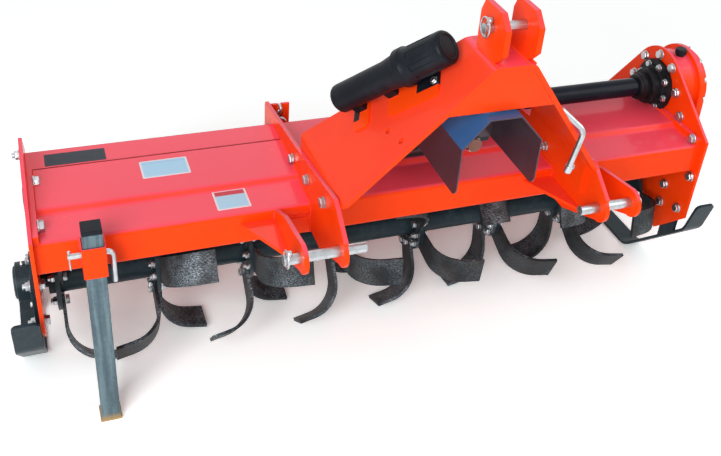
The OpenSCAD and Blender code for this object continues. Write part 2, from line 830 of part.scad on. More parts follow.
// Screw cap with a collar and a rounded end with a dished face
cap_collar = 4;
cap_collar_len = 18;
cap_neck_len = 8;
cap_taper = 1.5;
cap_round_r = 9;
cap_dish_edge = 12;
cap_dish_deep = 2;
module tube_cap() {
    tip = cap_r - cap_taper;
    end = bend([tip, 0], [tip, cap_len], [0, cap_len], cap_round_r, tube_steps);
    color(black) placed() tube_frame() translate([0, 0, tube_len - cap_len]) rotate_extrude($fn = round_fn)
        polygon(concat([[0, 0], [cap_r + cap_collar, 0], [cap_r + cap_collar, cap_collar_len],
                        [cap_r, cap_collar_len + cap_neck_len]], end,
                       [[cap_r - cap_dish_edge, cap_len], [cap_r - cap_dish_edge, cap_len - cap_dish_deep],
                        [0, cap_len - cap_dish_deep]]));
}
// Saddles between the tube and the panel, each with a rounded tab on the panel for its bolt
bracket_t = 5;
bracket_w = 40;
bracket_len = 26;
bracket_saddle_shares = [0.06, 0.36];
bracket_tab_shares = [0.02, 0.35];
bracket_tab_lens = [44, 135];
bracket_tab_out = 62;
bracket_corner_r = 12;
module bracket_tab(z0, len) {
    translate([tube_up - bracket_t, 0, z0]) rotate([0, 90, 0]) linear_extrude(bracket_t)
        offset(r = bracket_corner_r, $fn = round_fn)
        translate([-len + bracket_corner_r, -bracket_tab_out + bracket_corner_r])
        square([len - 2 * bracket_corner_r, bracket_tab_out + bracket_w / 2 - 2 * bracket_corner_r]);
}
module tube_brackets() {
    color(black) placed() difference() {
        tube_frame() for (i = [0:1]) {
            translate([0, -bracket_w / 2, tube_len * bracket_saddle_shares[i]])
                cube([tube_up, bracket_w, bracket_len]);
            bracket_tab(tube_len * bracket_tab_shares[i], bracket_tab_lens[i]);
        }
        tube_frame() translate([0, 0, -cut]) cylinder(h = tube_len, r = tube_r + seat_gap, $fn = round_fn);
    }
}

// Skid: bent runner with two upright bars on the end plate
module skid() {
    line = rounded([[skid_ramp_y - skid_nose_lean, skid_ramp_h + skid_nose_h], [skid_ramp_y, skid_ramp_h],
                    [skid_flat_y, 0], [skid_flat_y + skid_flat, 0],
                    [skid_flat_y + skid_flat + skid_heel_run, skid_heel_h]], skid_fold_r);
    front_y = skid_front_bar_y;
    back_y = skid_rear_bar_y;
    bar_low = skid_flat_y - front_y + skid_t;
    plate_x(-end_plate_t - skid_w, skid_w) polygon(strip(line, skid_t));
    plate_x(-end_plate_t - skid_bar_t, skid_bar_t) {
        polygon([[front_y, bar_low], [front_y + skid_bar_w, bar_low - skid_bar_w],
                 [front_y + skid_bar_w, skid_bar_top], [front_y, skid_bar_top]]);
        polygon([[back_y, skid_t / 2], [back_y + skid_bar_w, skid_t / 2],
                 [back_y + skid_bar_w, skid_bar_top], [back_y, skid_bar_top]]);
    }
}
module left_skid() { color(steel) placed() skid(); }
module right_skid() { color(steel) placed() translate([tilling_w, 0, 0]) mirror([1, 0, 0]) skid(); }

// Rotor tube with a stub shaft at each end
rotor_end_gap = 14;
stub_len = gear_bore_deep - shaft_end_gap;
module rotor_tube() {
    color(steel) placed() {
        bar_x(rotor_end_gap, tilling_w - 2 * rotor_end_gap, rotor_tube_r, rotor_y, rotor_z);
        bar_x(-end_plate_t - stub_len, stub_len + end_plate_t + rotor_end_gap, stub_r, rotor_y, rotor_z);
        bar_x(tilling_w - rotor_end_gap, stub_len + end_plate_t + rotor_end_gap, stub_r, rotor_y, rotor_z);
    }
}

// Blade: a strip bent from the radial to the axial way, cut to its outline and leant back about its bolts
blade_root_lap = 6;
blade_seat = 1;
blade_steps = 10;
blade_root = rotor_tube_r + blade_root_lap;
blade_pivot_r = 60;
blade_ahead = blade_w / 2 - blade_sweep + blade_pivot_r * sin(blade_lean);
blade_tip_r = blade_pivot_r * (1 - cos(blade_lean)) + sqrt(pow(rotor_r, 2) - pow(blade_ahead, 2));
blade_turned = blade_bend_r * tan(blade_bend / 2) + blade_end;
blade_knee = blade_tip_r - blade_turned * cos(blade_bend);
// Half width and sideways sweep of a blade at the share s of its height
function blade_half(s) = (blade_root_w + (blade_w - blade_root_w) * s) / 2;
function blade_mid(s) = blade_sweep * s * s;
module blade() {
    line = rounded([[0, blade_root], [0, blade_knee],
                    [blade_turned * sin(blade_bend), blade_tip_r]], blade_bend_r, blade_steps);
    rise = blade_tip_r - blade_root;
    shares = [for (k = [0:blade_steps]) k / blade_steps];
    front = [for (s = shares) [blade_mid(s) - blade_half(s), blade_root + rise * s]];
    back = [for (k = [blade_steps:-1:0])
            [blade_mid(shares[k]) + blade_half(shares[k]), blade_root + rise * shares[k]]];
    translate([flange_t / 2 - blade_seat, 0, blade_pivot_r])
        rotate([-blade_lean, 0, 0])
        translate([0, 0, -blade_pivot_r])
        intersection() {
            plate_y(-rotor_r, 2 * rotor_r) polygon(strip(line, -blade_t));
            plate_x(-cut, blade_turned + 2 * cut) polygon(concat(front, back));
        }
}

// One flange of the rotor with its blades fused to it, bent to the right and left in turn
ring_turns = [42, 73, 86, 99, 112, 6, 17, 35];
flange_count = len(ring_turns);
flange_step = (tilling_w - 2 * flange_first) / (flange_count - 1);
function ring_x(i) = flange_first + (i - 1) * flange_step;
module tine_ring(i) {
    at_left = i == 1;
    at_right = i == flange_count;
    color(black) placed() translate([ring_x(i), rotor_y, rotor_z]) difference() {
        union() {
            bar_x(-flange_t / 2, flange_t, flange_r, 0, 0);
            for (k = [0:5]) rotate([k * 60 + ring_turns[i - 1], 0, 0]) {
                if (k % 2 == 0 && !at_right) blade();
                if (k % 2 == 1 && !at_left) mirror([1, 0, 0]) blade();
            }
        }
        bar_x(-flange_t, 2 * flange_t, rotor_tube_r, 0, 0);
    }
}
module tine_ring_1() { tine_ring(1); }
module tine_ring_2() { tine_ring(2); }
module tine_ring_3() { tine_ring(3); }
module tine_ring_4() { tine_ring(4); }
module tine_ring_5() { tine_ring(5); }
module tine_ring_6() { tine_ring(6); }
module tine_ring_7() { tine_ring(7); }
module tine_ring_8() { tine_ring(8); }

// Hinge rod and its lugs under the rear cover's edge
tail_lug_lap = 24;
tail_lug_deep = 12;
module tail_hinge() {
    edge = [slope_y, slope_z];
    down = unit([slope_run, -slope_drop]);
    under = -left_normal([crest_y, cover_z], edge);
    corner = edge + under * deck_t;
    color(steel) placed() {
        bar_x(tail_side_gap, tilling_w - 2 * tail_side_gap, tail_rod_r, tail_hinge_y, tail_hinge_z);
        for (s = tail_lug_shares)
            plate_x(tilling_w * s - tail_lug_t / 2, tail_lug_t) union() {
                polygon([edge, [tail_hinge_y, tail_hinge_z + tail_rod_r],
                         [tail_hinge_y, tail_hinge_z - tail_rod_r],
                         corner - down * tail_lug_lap + under * tail_lug_deep,
                         corner - down * tail_lug_lap, corner]);
                translate([tail_hinge_y, tail_hinge_z]) circle(tail_knuckle_r, $fn = round_fn);
            }
    }
}

// Tailboard sheet with its knuckles on the hinge rod and an eye under each chain's end
tail_top = [tail_hinge_y + tail_knuckle_r - tail_t, tail_hinge_z - tail_t];
tail_mid = [tail_hinge_y + tail_mid_run, tail_hinge_z - tail_mid_drop];
tail_lug_room = 12;
tail_room_r = 26;
chain_eye_t = 8;
chain_eye_gap = 1.5;
module chain_eye() {
    out = left_normal(tail_top, tail_mid);
    far = chain_centre(chain_links - 1);
    reach = (far - tail_top) * out;
    eye_r = reach - tail_t - link_half - chain_eye_gap;
    plate_x(chain_x - chain_eye_t / 2, chain_eye_t) intersection() {
        translate(far - out * (reach - tail_t)) circle(eye_r, $fn = round_fn);
        translate(tail_top + out * tail_t / 2)
            rotate(atan2(out[1], out[0]))
            translate([0, -tail_rear])
            square([tail_rear, 2 * tail_rear]);
    }
}
module tailboard() {
    line = rounded([tail_top, tail_mid, [tail_rear - tail_lip, tail_z], [tail_rear, tail_z]], tail_fold_r);
    color(paint) placed() difference() {
        union() {
            plate_x(tail_side_gap, tilling_w - 2 * tail_side_gap) polygon(strip(line, tail_t));
            for (s = tail_knuckle_shares)
                bar_x(tilling_w * s - tail_knuckle_len / 2, tail_knuckle_len, tail_knuckle_r,
                      tail_hinge_y, tail_hinge_z);
            chain_eye();
            mirrored() chain_eye();
        }
        bar_x(0, tilling_w, tail_rod_r + run_clear, tail_hinge_y, tail_hinge_z);
        for (s = tail_lug_shares)
            bar_x(tilling_w * s - tail_lug_t / 2 - tail_lug_room, tail_lug_t + 2 * tail_lug_room,
                  tail_room_r, tail_hinge_y, tail_hinge_z);
    }
}

// Forked brackets on the main plates, each with a stop link in front of its slot
chain_bracket_w = 52;
chain_bracket_t = 7;
chain_bracket_y = main_rear_y - chain_bracket_t;
chain_bracket_low = 422;
chain_bracket_top = 488;
chain_slot_gap = 0.5;
chain_slot_deep = 48;
chain_x = hitch_x - main_off + lug_t + chain_bracket_w / 2;
module chain_bracket() {
    slot_w = chain_d + 2 * chain_slot_gap;
    plate_y(chain_bracket_y, chain_bracket_t) difference() {
        translate([chain_x - chain_bracket_w / 2, chain_bracket_low])
            square([chain_bracket_w, chain_bracket_top - chain_bracket_low]);
        translate([chain_x - slot_w / 2, chain_bracket_top - chain_slot_deep])
            square([slot_w, chain_slot_deep + cut]);
    }
    translate([chain_x, chain_pivot[0], chain_pivot[1] - (chain_pitch + chain_d) / 2]) link(chain_pitch);
}
module chain_brackets() { color(paint) placed() { chain_bracket(); mirrored() chain_bracket(); } }

// Tailboard chains: links in turn on a straight run from the stop link's wire
chain_links = 7;
chain_lean = 40;
chain_first = 36;
chain_round = 7.2;
chain_slack = 0.4;
chain_top_drop = 10;
chain_r = chain_d / 2;
link_half = chain_round + chain_d;
chain_dir = [sin(chain_lean), -cos(chain_lean)];
chain_pivot = [chain_bracket_y - chain_r - seat_gap, chain_bracket_top - chain_top_drop];
// Way along the chain from its pivot to the middle of link k
function chain_way(k) =
    k == 0 ? chain_first / 2 - chain_r - seat_gap
           : chain_way(0) + (chain_first - chain_pitch) / 2 + k * (chain_pitch - chain_slack);
function chain_centre(k) = chain_pivot + chain_dir * chain_way(k);
module link(inside) {
    straight = inside - 2 * chain_round;
    for (side = [-1, 1]) {
        translate([side * (chain_round + chain_r), 0, -straight / 2])
            cylinder(h = straight, r = chain_r, $fn = 16);
        translate([0, 0, side * straight / 2])
            rotate([90, 0, side > 0 ? 0 : 180])
            rotate_extrude(angle = side > 0 ? 180 : -180, $fn = 24)
            translate([chain_round + chain_r, 0])
            circle(chain_r, $fn = 16);
    }
}
module tail_chain() {
    translate([chain_x, chain_pivot[0], chain_pivot[1]])
        rotate([chain_lean, 0, 0])
        for (k = [0:chain_links - 1])
            translate([0, 0, -chain_way(k)])
            rotate([0, 0, k % 2 == 0 ? 90 : 0])
            link(k == 0 ? chain_first : chain_pitch);
}
module tail_chains() { color(zinc) placed() { tail_chain(); mirrored() tail_chain(); } }

// Bent rod that holds the loose drive shaft clear, welded to the right panel's front edge
hook_r = 6;
hook_knee_share = 1.1;
hook_knob_share = 1.4;
hook_top_drop = 29;
hook_top_z = head_plate_z - hook_top_drop;
hook_top_in = 15;
hook_knee_off = 52;
hook_knee_drop = 46;
hook_knee_z = hook_top_z - hook_knee_drop;
hook_end_off = 33;
hook_end_drop = 91;
hook_end_z = hook_knee_z - hook_end_drop;
hook_front_gap = 3;
module hook_rod() {
    out = head_off(hook_top_z);
    edge = head_front_y(hook_top_z);
    top = [out, edge + hook_top_in, hook_top_z];
    knee = [out + hook_knee_off, edge - hook_front_gap, hook_knee_z];
    end = [out + hook_end_off, edge - hook_front_gap, hook_end_z];
    color(zinc) placed() difference() {
        translate([hitch_x, 0, 0]) {
            rod(top, knee, hook_r);
            translate(knee) sphere(hook_r * hook_knee_share, $fn = 24);
            rod(knee, end, hook_r);
            translate(end) sphere(hook_r * hook_knob_share, $fn = 24);
        }
        headstock_plate();
    }
}

deck();
rear_cover();
left_end_plate();
right_end_plate();
left_end_bar();
right_end_bar();
gear_case();
left_bearing();
drive_flange();
drive_tube();
gearbox();
input_shaft();
input_guard();
left_main_plate();
right_main_plate();
left_outer_lug();
right_outer_lug();
hitch_gussets();
headstock();
headstock_front();
left_mast_plate();
right_mast_plate();
top_link_pin();
left_hitch_pin();
right_hitch_pin();
leg_sleeve();
park_leg();
leg_cap();
leg_pin();
document_tube();
tube_cap();
tube_brackets();
left_skid();
right_skid();
rotor_tube();
tine_ring_1();
tine_ring_2();
tine_ring_3();
tine_ring_4();
tine_ring_5();
tine_ring_6();
tine_ring_7();
tine_ring_8();
tail_hinge();
tailboard();
chain_brackets();
tail_chains();
hook_rod();
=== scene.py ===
import json
import logging
import math
from contextlib import contextmanager
from dataclasses import dataclass, field
from enum import Enum
from typing import Callable, Iterator, Sequence

import bmesh
import bpy
from mathutils import Matrix, Vector

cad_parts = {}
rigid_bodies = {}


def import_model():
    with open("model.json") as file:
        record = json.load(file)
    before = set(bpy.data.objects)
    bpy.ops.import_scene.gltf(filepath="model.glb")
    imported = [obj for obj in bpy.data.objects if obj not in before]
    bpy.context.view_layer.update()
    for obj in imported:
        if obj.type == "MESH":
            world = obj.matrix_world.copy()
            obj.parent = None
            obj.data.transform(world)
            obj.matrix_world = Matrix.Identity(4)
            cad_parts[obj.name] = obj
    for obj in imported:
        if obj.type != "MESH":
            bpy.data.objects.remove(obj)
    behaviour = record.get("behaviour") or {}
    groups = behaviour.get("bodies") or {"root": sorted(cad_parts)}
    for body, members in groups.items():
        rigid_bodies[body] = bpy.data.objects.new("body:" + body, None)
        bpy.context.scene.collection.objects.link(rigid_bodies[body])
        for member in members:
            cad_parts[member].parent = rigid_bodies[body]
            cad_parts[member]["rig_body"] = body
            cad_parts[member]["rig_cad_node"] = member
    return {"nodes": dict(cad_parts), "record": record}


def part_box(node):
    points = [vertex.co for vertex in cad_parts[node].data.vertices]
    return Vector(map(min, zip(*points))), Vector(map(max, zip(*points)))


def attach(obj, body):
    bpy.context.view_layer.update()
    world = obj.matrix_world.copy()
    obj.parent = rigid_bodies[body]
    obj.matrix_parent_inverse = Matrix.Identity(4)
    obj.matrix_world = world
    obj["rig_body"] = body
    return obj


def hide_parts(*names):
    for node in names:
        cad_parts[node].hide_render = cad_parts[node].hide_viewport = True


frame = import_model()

LOG = logging.getLogger("rotary_tiller")
MM = 0.001
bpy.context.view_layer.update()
DECK_LOW, DECK_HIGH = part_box("deck")
SMOOTH_ANGLE = math.radians(35)
SOFT_STEP = 0.0005
FINE_EASE = 0.0006
COVER_EASE = 0.0008
UP = Vector((0, 0, 1))
WHITE = (1, 1, 1, 1)
# Places that several classes share, in millimetres: an axis's y and z, or an x
ROTOR_AXIS = (201, 218)
DRIVE_AXIS = (221, 527)
MIDDLE_X = 876
FIRST_FLANGE_X = 34
FLANGE_STEP = 1532 / 7
# The sloped part of the gearbox's top: y and z of its start and its end
GEARBOX_SLOPE = ((60, 736), (298, 600))

Colour = tuple[float, float, float]
Pairs = Sequence[tuple[float, float]]
Piece = bpy.types.Object
Material = bpy.types.Material
Mesh = bmesh.types.BMesh
Value = "float | Sock"


def at(x: float, y: float, z: float) -> Vector:
    """Point in the frame, from millimetres on the machine.

    Args:
        x: To the right of the left end plate's inner face.
        y: Behind the front beam's face.
        z: Above the ground.

    Returns:
        The point in metres.
    """
    return Vector((DECK_LOW.x + x * MM, DECK_LOW.y + y * MM, z * MM))


class Side(Enum):
    """Way that a fastener's head faces."""

    LEFT = (-1, 0, 0)
    RIGHT = (1, 0, 0)
    FRONT = (0, -1, 0)
    TOP = (0, 0, 1)

    @property
    def axis(self) -> Vector:
        """Unit vector of this way."""
        return Vector(self.value)


class Sock:
    """A node's output, with sums written as Python expressions."""

    def __init__(self, shader: "Shader", socket: bpy.types.NodeSocket | None) -> None:
        """Keep the shader and one of its sockets. An output node has none."""
        self.shader = shader
        self.socket = socket

    def _math(self, operation: str, first: Value, second: Value) -> "Sock":
        """Add one Math node.

        Args:
            operation: Name of the Math node's operation.
            first: First value.
            second: Second value.

        Returns:
            The node's output.
        """
        return self.shader.node("ShaderNodeMath", {"operation": operation}, {0: first, 1: second})

    def __add__(self, other: Value) -> "Sock":
        """Sum."""
        return self._math("ADD", self, other)

    __radd__ = __add__

    def __sub__(self, other: Value) -> "Sock":
        """Difference."""
        return self._math("SUBTRACT", self, other)

    def __rsub__(self, other: Value) -> "Sock":
        """Difference, from the other value."""
        return self._math("SUBTRACT", other, self)

    def __mul__(self, other: Value) -> "Sock":
        """Product."""
        return self._math("MULTIPLY", self, other)

    __rmul__ = __mul__

    def __pow__(self, other: Value) -> "Sock":
        """Power."""
        return self._math("POWER", self, other)

    def most(self, other: Value) -> "Sock":
        """The larger of two values."""
        return self._math("MAXIMUM", self, other)

    def ramp(self, low: float, high: float) -> "Sock":
        """Smooth step from 0 at low to 1 at high."""
        return self.shader.node("ShaderNodeMapRange", {"interpolation_type": "SMOOTHSTEP"},
                                {"Value": self, "From Min": low, "From Max": high})

    def reach(self, other: "Sock") -> "Sock":
        """Length of two measures at right angles."""
        return (self * self + other * other) ** 0.5

    def within(self, low: float, high: float, soft: float = SOFT_STEP) -> "Sock":
        """1 between low and high and 0 outside, with soft steps."""
        return self.ramp(low, low + soft) * (1 - self.ramp(high - soft, high))


class Shader:
    """The nodes of a material or a world under construction."""

    def __init__(self, owner: "Material | bpy.types.World") -> None:
        """Empty the owner's nodes."""
        owner.use_nodes = True
        self.owner = owner
        self.tree = owner.node_tree
        self.tree.nodes.clear()

    def node(self, kind: str, settings: dict | None = None, inputs: dict | None = None,
             out: int | str = 0) -> Sock:
        """Add any node.

        Args:
            kind: Type of the node.
            settings: Its own settings, set first.
            inputs: Values or links of its sockets, by name or number.
            out: Name or number of the output wanted.

        Returns:
            That output.
        """
        made = self.tree.nodes.new(kind)
        for key, value in (settings or {}).items():
            setattr(made, key, value)
        for key, value in (inputs or {}).items():
            if isinstance(value, Sock):
                self.tree.links.new(value.socket, made.inputs[key])
            else:
                made.inputs[key].default_value = value
        return Sock(self, made.outputs[out] if made.outputs else None)

    def coords(self, stretch: Colour = (1, 1, 1)) -> Sock:
        """Object coordinates, scaled along each axis."""
        raw = self.node("ShaderNodeTexCoord", out="Object")
        return self.node("ShaderNodeMapping", None, {"Vector": raw, "Scale": stretch})

    def noise(self, scale: float, detail: float = 3, rough: float = 0.55,
              stretch: Colour = (1, 1, 1)) -> Sock:
        """Noise from 0 to 1, its scale in lumps a metre."""
        inputs = {"Vector": self.coords(stretch), "Scale": scale, "Detail": detail, "Roughness": rough}
        return self.node("ShaderNodeTexNoise", None, inputs)

    def mix(self, factor: Value, first: "Colour | Sock", second: "Colour | Sock") -> Sock:
        """Blend of two colours.

        Args:
            factor: Share of the second colour.
            first: First colour.
            second: Second colour.

        Returns:
            The blended colour.
        """
        pair = [c if isinstance(c, Sock) else (*c, 1) for c in (first, second)]
        return self.node("ShaderNodeMix", {"data_type": "RGBA"}, {0: factor, 6: pair[0], 7: pair[1]}, 2)

    def bump(self, height: Sock, depth: float, under: Sock | None = None) -> Sock:
        """Normal that is roughened by a height from 0 to 1.

        Args:
            height: The height.
            depth: Depth in metres of a height of 1.
            under: Normal that this one is laid over.

        Returns:
            The normal.
        """
        inputs = {"Height": height, "Distance": depth, "Strength": 1.0}
        if under:
            inputs["Normal"] = under
        return self.node("ShaderNodeBump", None, inputs)

    def facing(self, axis: str) -> Sock:
        """Part of the surface's own normal along an axis of the machine, from -1 to 1."""
        normal = self.node("ShaderNodeTexCoord", out="Normal")
        return self.node("ShaderNodeSeparateXYZ", None, {0: normal}, axis)

    def place(self, axis: str) -> Sock:
        """Coordinate along an axis of the machine, in metres."""
        return self.node("ShaderNodeSeparateXYZ", None, {0: self.coords()}, axis)

    def close(self, **sockets: object) -> Material:
        """Add the surface shader and the output.

        Args:
            sockets: Values or links of the surface's sockets, with _ for a space.

        Returns:
            The finished material.
        """
        inputs = {key.replace("_", " "): value for key, value in sockets.items()}
        self.node_output(self.node("ShaderNodeBsdfPrincipled", None, inputs))
        return self.owner

    def blend(self, factor: Value, first: Sock, second: Sock) -> Sock:
        """Blend of two shaders, by the second one's share."""
        return self.node("ShaderNodeMixShader", None, {0: factor, 1: first, 2: second})

    def seen(self) -> Sock:
        """1 for rays that are seen, straight, mirrored or through glass, and 0 for light that bounces."""
        camera, glossy, clear = (self.node("ShaderNodeLightPath", out=f"Is {kind} Ray")
                                 for kind in ("Camera", "Glossy", "Transmission"))
        return camera.most(glossy).most(clear)

    def node_output(self, surface: Sock, kind: str = "ShaderNodeOutputMaterial") -> None:
        """Link a shader to the output."""
        self.node(kind, None, {"Surface": surface})


@dataclass(frozen=True)
class Finish:
    """A surface finish. Each kind of finish builds its own material once."""

    slot: str
    name: str = ""

    def nodes(self, shader: Shader) -> Material:
        """Build the finish in an empty shader."""
        raise NotImplementedError

    def material(self) -> Material:
        """The finish's material, made the first time that it is asked for."""
        name = self.name or f"{type(self).__name__.lower()}_{self.slot}"
        return bpy.data.materials.get(name) or self.nodes(Shader(bpy.data.materials.new(name)))


@dataclass(frozen=True)
class GlossPaint(Finish):
    """Sprayed gloss paint with a slight orange peel, a painted pale sky reflection on what faces up, and
    pink dust there that is partly painted reflection.
    """

    slot: str = "paint"
    body: Colour = (0.95, 0.062, 0.004)
    deep: Colour = (0.88, 0.048, 0.003)
    # Painted pale pink sky reflection, mixed into the colour of faces that look up.
    painted_reflection: Colour = (0.98, 0.080, 0.130)
    painted_reflection_share: float = 0.95
    # Pink tone on faces that look up: partly dust, partly painted sky reflection.
    dust_and_painted_sheen_tone: Colour = (0.86, 0.16, 0.15)
    dust_share: float = 0.06
    cloud: tuple = (4.0, 4)
    cloud_edges: tuple = (0.3, 0.7)
    dust: tuple = (14.0, 6, 0.7)
    dust_edges: tuple = (0.55, 0.85)
    top_faces: tuple = (0.5, 0.98)
    rough: float = 0.22
    cloud_rough: float = 0.08
    dust_rough: float = 0.05
    specular: float = 0.08
    coat: float = 0.02
    top_coat: float = 0.30
    coat_rough: float = 0.06
    peel_scale: float = 420.0
    peel_depth: float = 0.00005

    def nodes(self, shader: Shader) -> Material:
        """Build the paint."""
        cloud = shader.noise(*self.cloud)
        tone = shader.mix(cloud.ramp(*self.cloud_edges), self.deep, self.body)
        upward = shader.facing("Z").ramp(*self.top_faces)
        # Painted sky reflection on faces that look up.
        tone = shader.mix(upward * self.painted_reflection_share, tone, self.painted_reflection)
        # Dust patches on faces that look up, in a pink that is partly painted reflection.
        dust = shader.noise(*self.dust).ramp(*self.dust_edges) * upward
        return shader.close(
            Base_Color=shader.mix(dust * self.dust_share, tone, self.dust_and_painted_sheen_tone),
            Roughness=self.rough + self.cloud_rough * cloud + self.dust_rough * dust,
            Specular_IOR_Level=self.specular,
            Normal=shader.bump(shader.noise(self.peel_scale, 2), self.peel_depth),
            Coat_Weight=self.coat + self.top_coat * upward, Coat_Roughness=self.coat_rough)


@dataclass(frozen=True)
class Grained(Finish):
    """Two tones in soft clouds over a fine grain."""

    body: Colour = (0.5, 0.5, 0.5)
    pale: Colour = (0.5, 0.5, 0.5)
    rough: float = 0.3
    spread: float = 0.16
    specular: float = 0.5
    metal: float = 0.0
    cloud: tuple = (18.0, 4)
    cloud_edges: tuple = (0.4, 0.75)
    cloud_share: float = 1.0
    grain: tuple = (700.0, 3)
    grain_depth: float = 0.00006

    def tint(self, shader: Shader, cloud: Sock) -> Sock:
        """Colour of the surface."""
        return shader.mix(cloud.ramp(*self.cloud_edges) * self.cloud_share, self.body, self.pale)

    def nodes(self, shader: Shader) -> Material:
        """Build the finish."""
        cloud = shader.noise(*self.cloud)
        return shader.close(
            Base_Color=self.tint(shader, cloud), Roughness=self.rough + self.spread * cloud,
            Specular_IOR_Level=self.specular, Metallic=self.metal,
            Normal=shader.bump(shader.noise(*self.grain), self.grain_depth))


@dataclass(frozen=True)
class SatinPaint(Grained):
    """Thin satin paint on steel, patchy and lightly scuffed."""

    slot: str = "dark_steel"
    body: Colour = (0.011, 0.024, 0.032)
    pale: Colour = (0.032, 0.051, 0.061)
    spread: float = 0.22
    specular: float = 0.2
    metal: float = 0.1
    cloud: tuple = (22.0, 6, 0.65)
    cloud_edges: tuple = (0.46, 0.72)
    cloud_share: float = 0.7
    grain: tuple = (160.0, 4, 0.6)
    grain_depth: float = 0.00012

    def tint(self, shader: Shader, cloud: Sock) -> Sock:
        """Colour that is worn pale in patches and on the grain."""
        worn = cloud * self.cloud_share + shader.noise(*self.grain) * (1 - self.cloud_share)
        return shader.mix(worn.ramp(*self.cloud_edges), self.body, self.pale)


@dataclass(frozen=True)
class ForgedBlade(Finish):
    """Dark forged blade with bare specks, more of them on faces that look up as a painted highlight, on a
    flange in the rotor tube's gloss.
    """

    slot: str = "blade_steel"
    body: Colour = (0.006, 0.009, 0.012)
    brown: Colour = (0.020, 0.018, 0.017)
    speck: Colour = (0.36, 0.44, 0.50)
    flange: Colour = (0.020, 0.034, 0.043)
    flange_half_mm: float = 5.2
    flange_r_mm: float = 79.0
    soft: float = 0.0002
    top_faces: tuple = (-0.2, 0.8)
    grain: tuple = (520.0, 4, 0.7, (0.3, 1, 1))
    grain_depth: float = 0.0004
    patch: tuple = (13.0, 5, 0.6)
    patch_edges: tuple = (0.36, 0.66)
    dent_depth: float = 0.0015
    wear: tuple = (14.0, 2, 0.5)
    wear_edges: tuple = (0.34, 0.62)
    least_worn: float = 0.12
    # Share of the specks kept on faces that look down; the rest is a painted highlight on faces that look
    # up.
    least_painted_top_light: float = 0.2
    speck_edges: tuple = (0.40, 0.72)
    rough: float = 0.3
    blade_rough: float = 0.12
    grain_rough: float = 0.2
    metal: float = 0.2
    speck_metal: float = 0.5
    specular: float = 0.25

    def on_flange(self, shader: Shader) -> Sock:
        """Mask of the flanges, from the distance to the rotor's axis and to the nearest flange's middle."""
        centre = at(FIRST_FLANGE_X - FLANGE_STEP, *ROTOR_AXIS)
        radius = (shader.place("Y") - centre.y).reach(shader.place("Z") - centre.z)
        along = shader.node("ShaderNodeMath", {"operation": "PINGPONG"},
                            {0: shader.place("X") - centre.x, 1: FLANGE_STEP * MM / 2})
        thick, edge = self.flange_half_mm * MM, self.flange_r_mm * MM
        return (1 - along.ramp(thick, thick + self.soft)) * (1 - radius.ramp(edge, edge + self.soft))

    def nodes(self, shader: Shader) -> Material:
        """Build the forged surface."""
        patch = shader.noise(*self.patch)
        grit = shader.noise(*self.grain)
        blade = 1 - self.on_flange(shader)
        worn = self.least_worn + (1 - self.least_worn) * shader.noise(*self.wear).ramp(*self.wear_edges)
        # Painted highlight: more bright specks on faces that look up.
        painted_top_light = self.least_painted_top_light + (1 - self.least_painted_top_light) * shader.facing("Z").ramp(*self.top_faces)
        specks = grit.ramp(*self.speck_edges) * worn * painted_top_light * blade
        dark = shader.mix(patch.ramp(*self.patch_edges), self.body, self.brown)
        return shader.close(
            Base_Color=shader.mix(blade, self.flange, shader.mix(specks, dark, self.speck)),
            Roughness=self.rough + (self.blade_rough + self.grain_rough * grit) * blade,
            Specular_IOR_Level=self.specular,
            Normal=shader.bump(grit * blade, self.grain_depth, shader.bump(patch, self.dent_depth)),
            Metallic=self.metal + self.speck_metal * specks)


@dataclass(frozen=True)
class BrightZinc(Grained):
    """Bright zinc plating with a faint cast."""

    slot: str = "bright_zinc"
    body: Colour = (0.52, 0.56, 0.59)
    pale: Colour = (0.26, 0.25, 0.22)
    rough: float = 0.2
    spread: float = 0.2
    metal: float = 0.95
    cloud: tuple = (60.0, 3)
    cloud_edges: tuple = (0.42, 0.7)
    cloud_share: float = 0.35
    grain: tuple = (900.0, 2)
    grain_depth: float = 0.00003


@dataclass(frozen=True)
class Galvanised(Finish):
    """Dull galvanised tube with streaks, and rust low down."""

    slot: str = "galvanised"
    body: Colour = (0.070, 0.112, 0.135)
    pale: Colour = (0.145, 0.215, 0.245)
    rust: Colour = (0.42, 0.26, 0.09)
    rust_top: float = 0.022
    streak: tuple = (90.0, 4, 0.6, (1, 1, 0.06))
    streak_share: float = 0.75
    spangle: tuple = (120.0, 4, 0.7)
    pale_edges: tuple = (0.4, 0.65)
    blotch: tuple = (70.0, 5, 0.7)
    blotch_lift: float = 0.35
    blotch_edges: tuple = (0.45, 0.8)
    rough: float = 0.34
    spread: float = 0.25
    metal: float = 0.6
    rust_dulls: float = 0.5
    grain_depth: float = 0.0002

    def nodes(self, shader: Shader) -> Material:
        """Build the galvanised surface."""
        spangle = shader.noise(*self.spangle)
        streak = shader.noise(*self.streak) * self.streak_share + spangle * (1 - self.streak_share)
        colour = shader.mix(streak.ramp(*self.pale_edges), self.body, self.pale)
        low = 1 - shader.place("Z").ramp(0.0, self.rust_top)
        rusty = low * (self.blotch_lift + shader.noise(*self.blotch)).ramp(*self.blotch_edges)
        return shader.close(
            Base_Color=shader.mix(rusty, colour, self.rust), Roughness=self.rough + self.spread * spangle,
            Normal=shader.bump(spangle, self.grain_depth), Metallic=self.metal - self.rust_dulls * rusty)


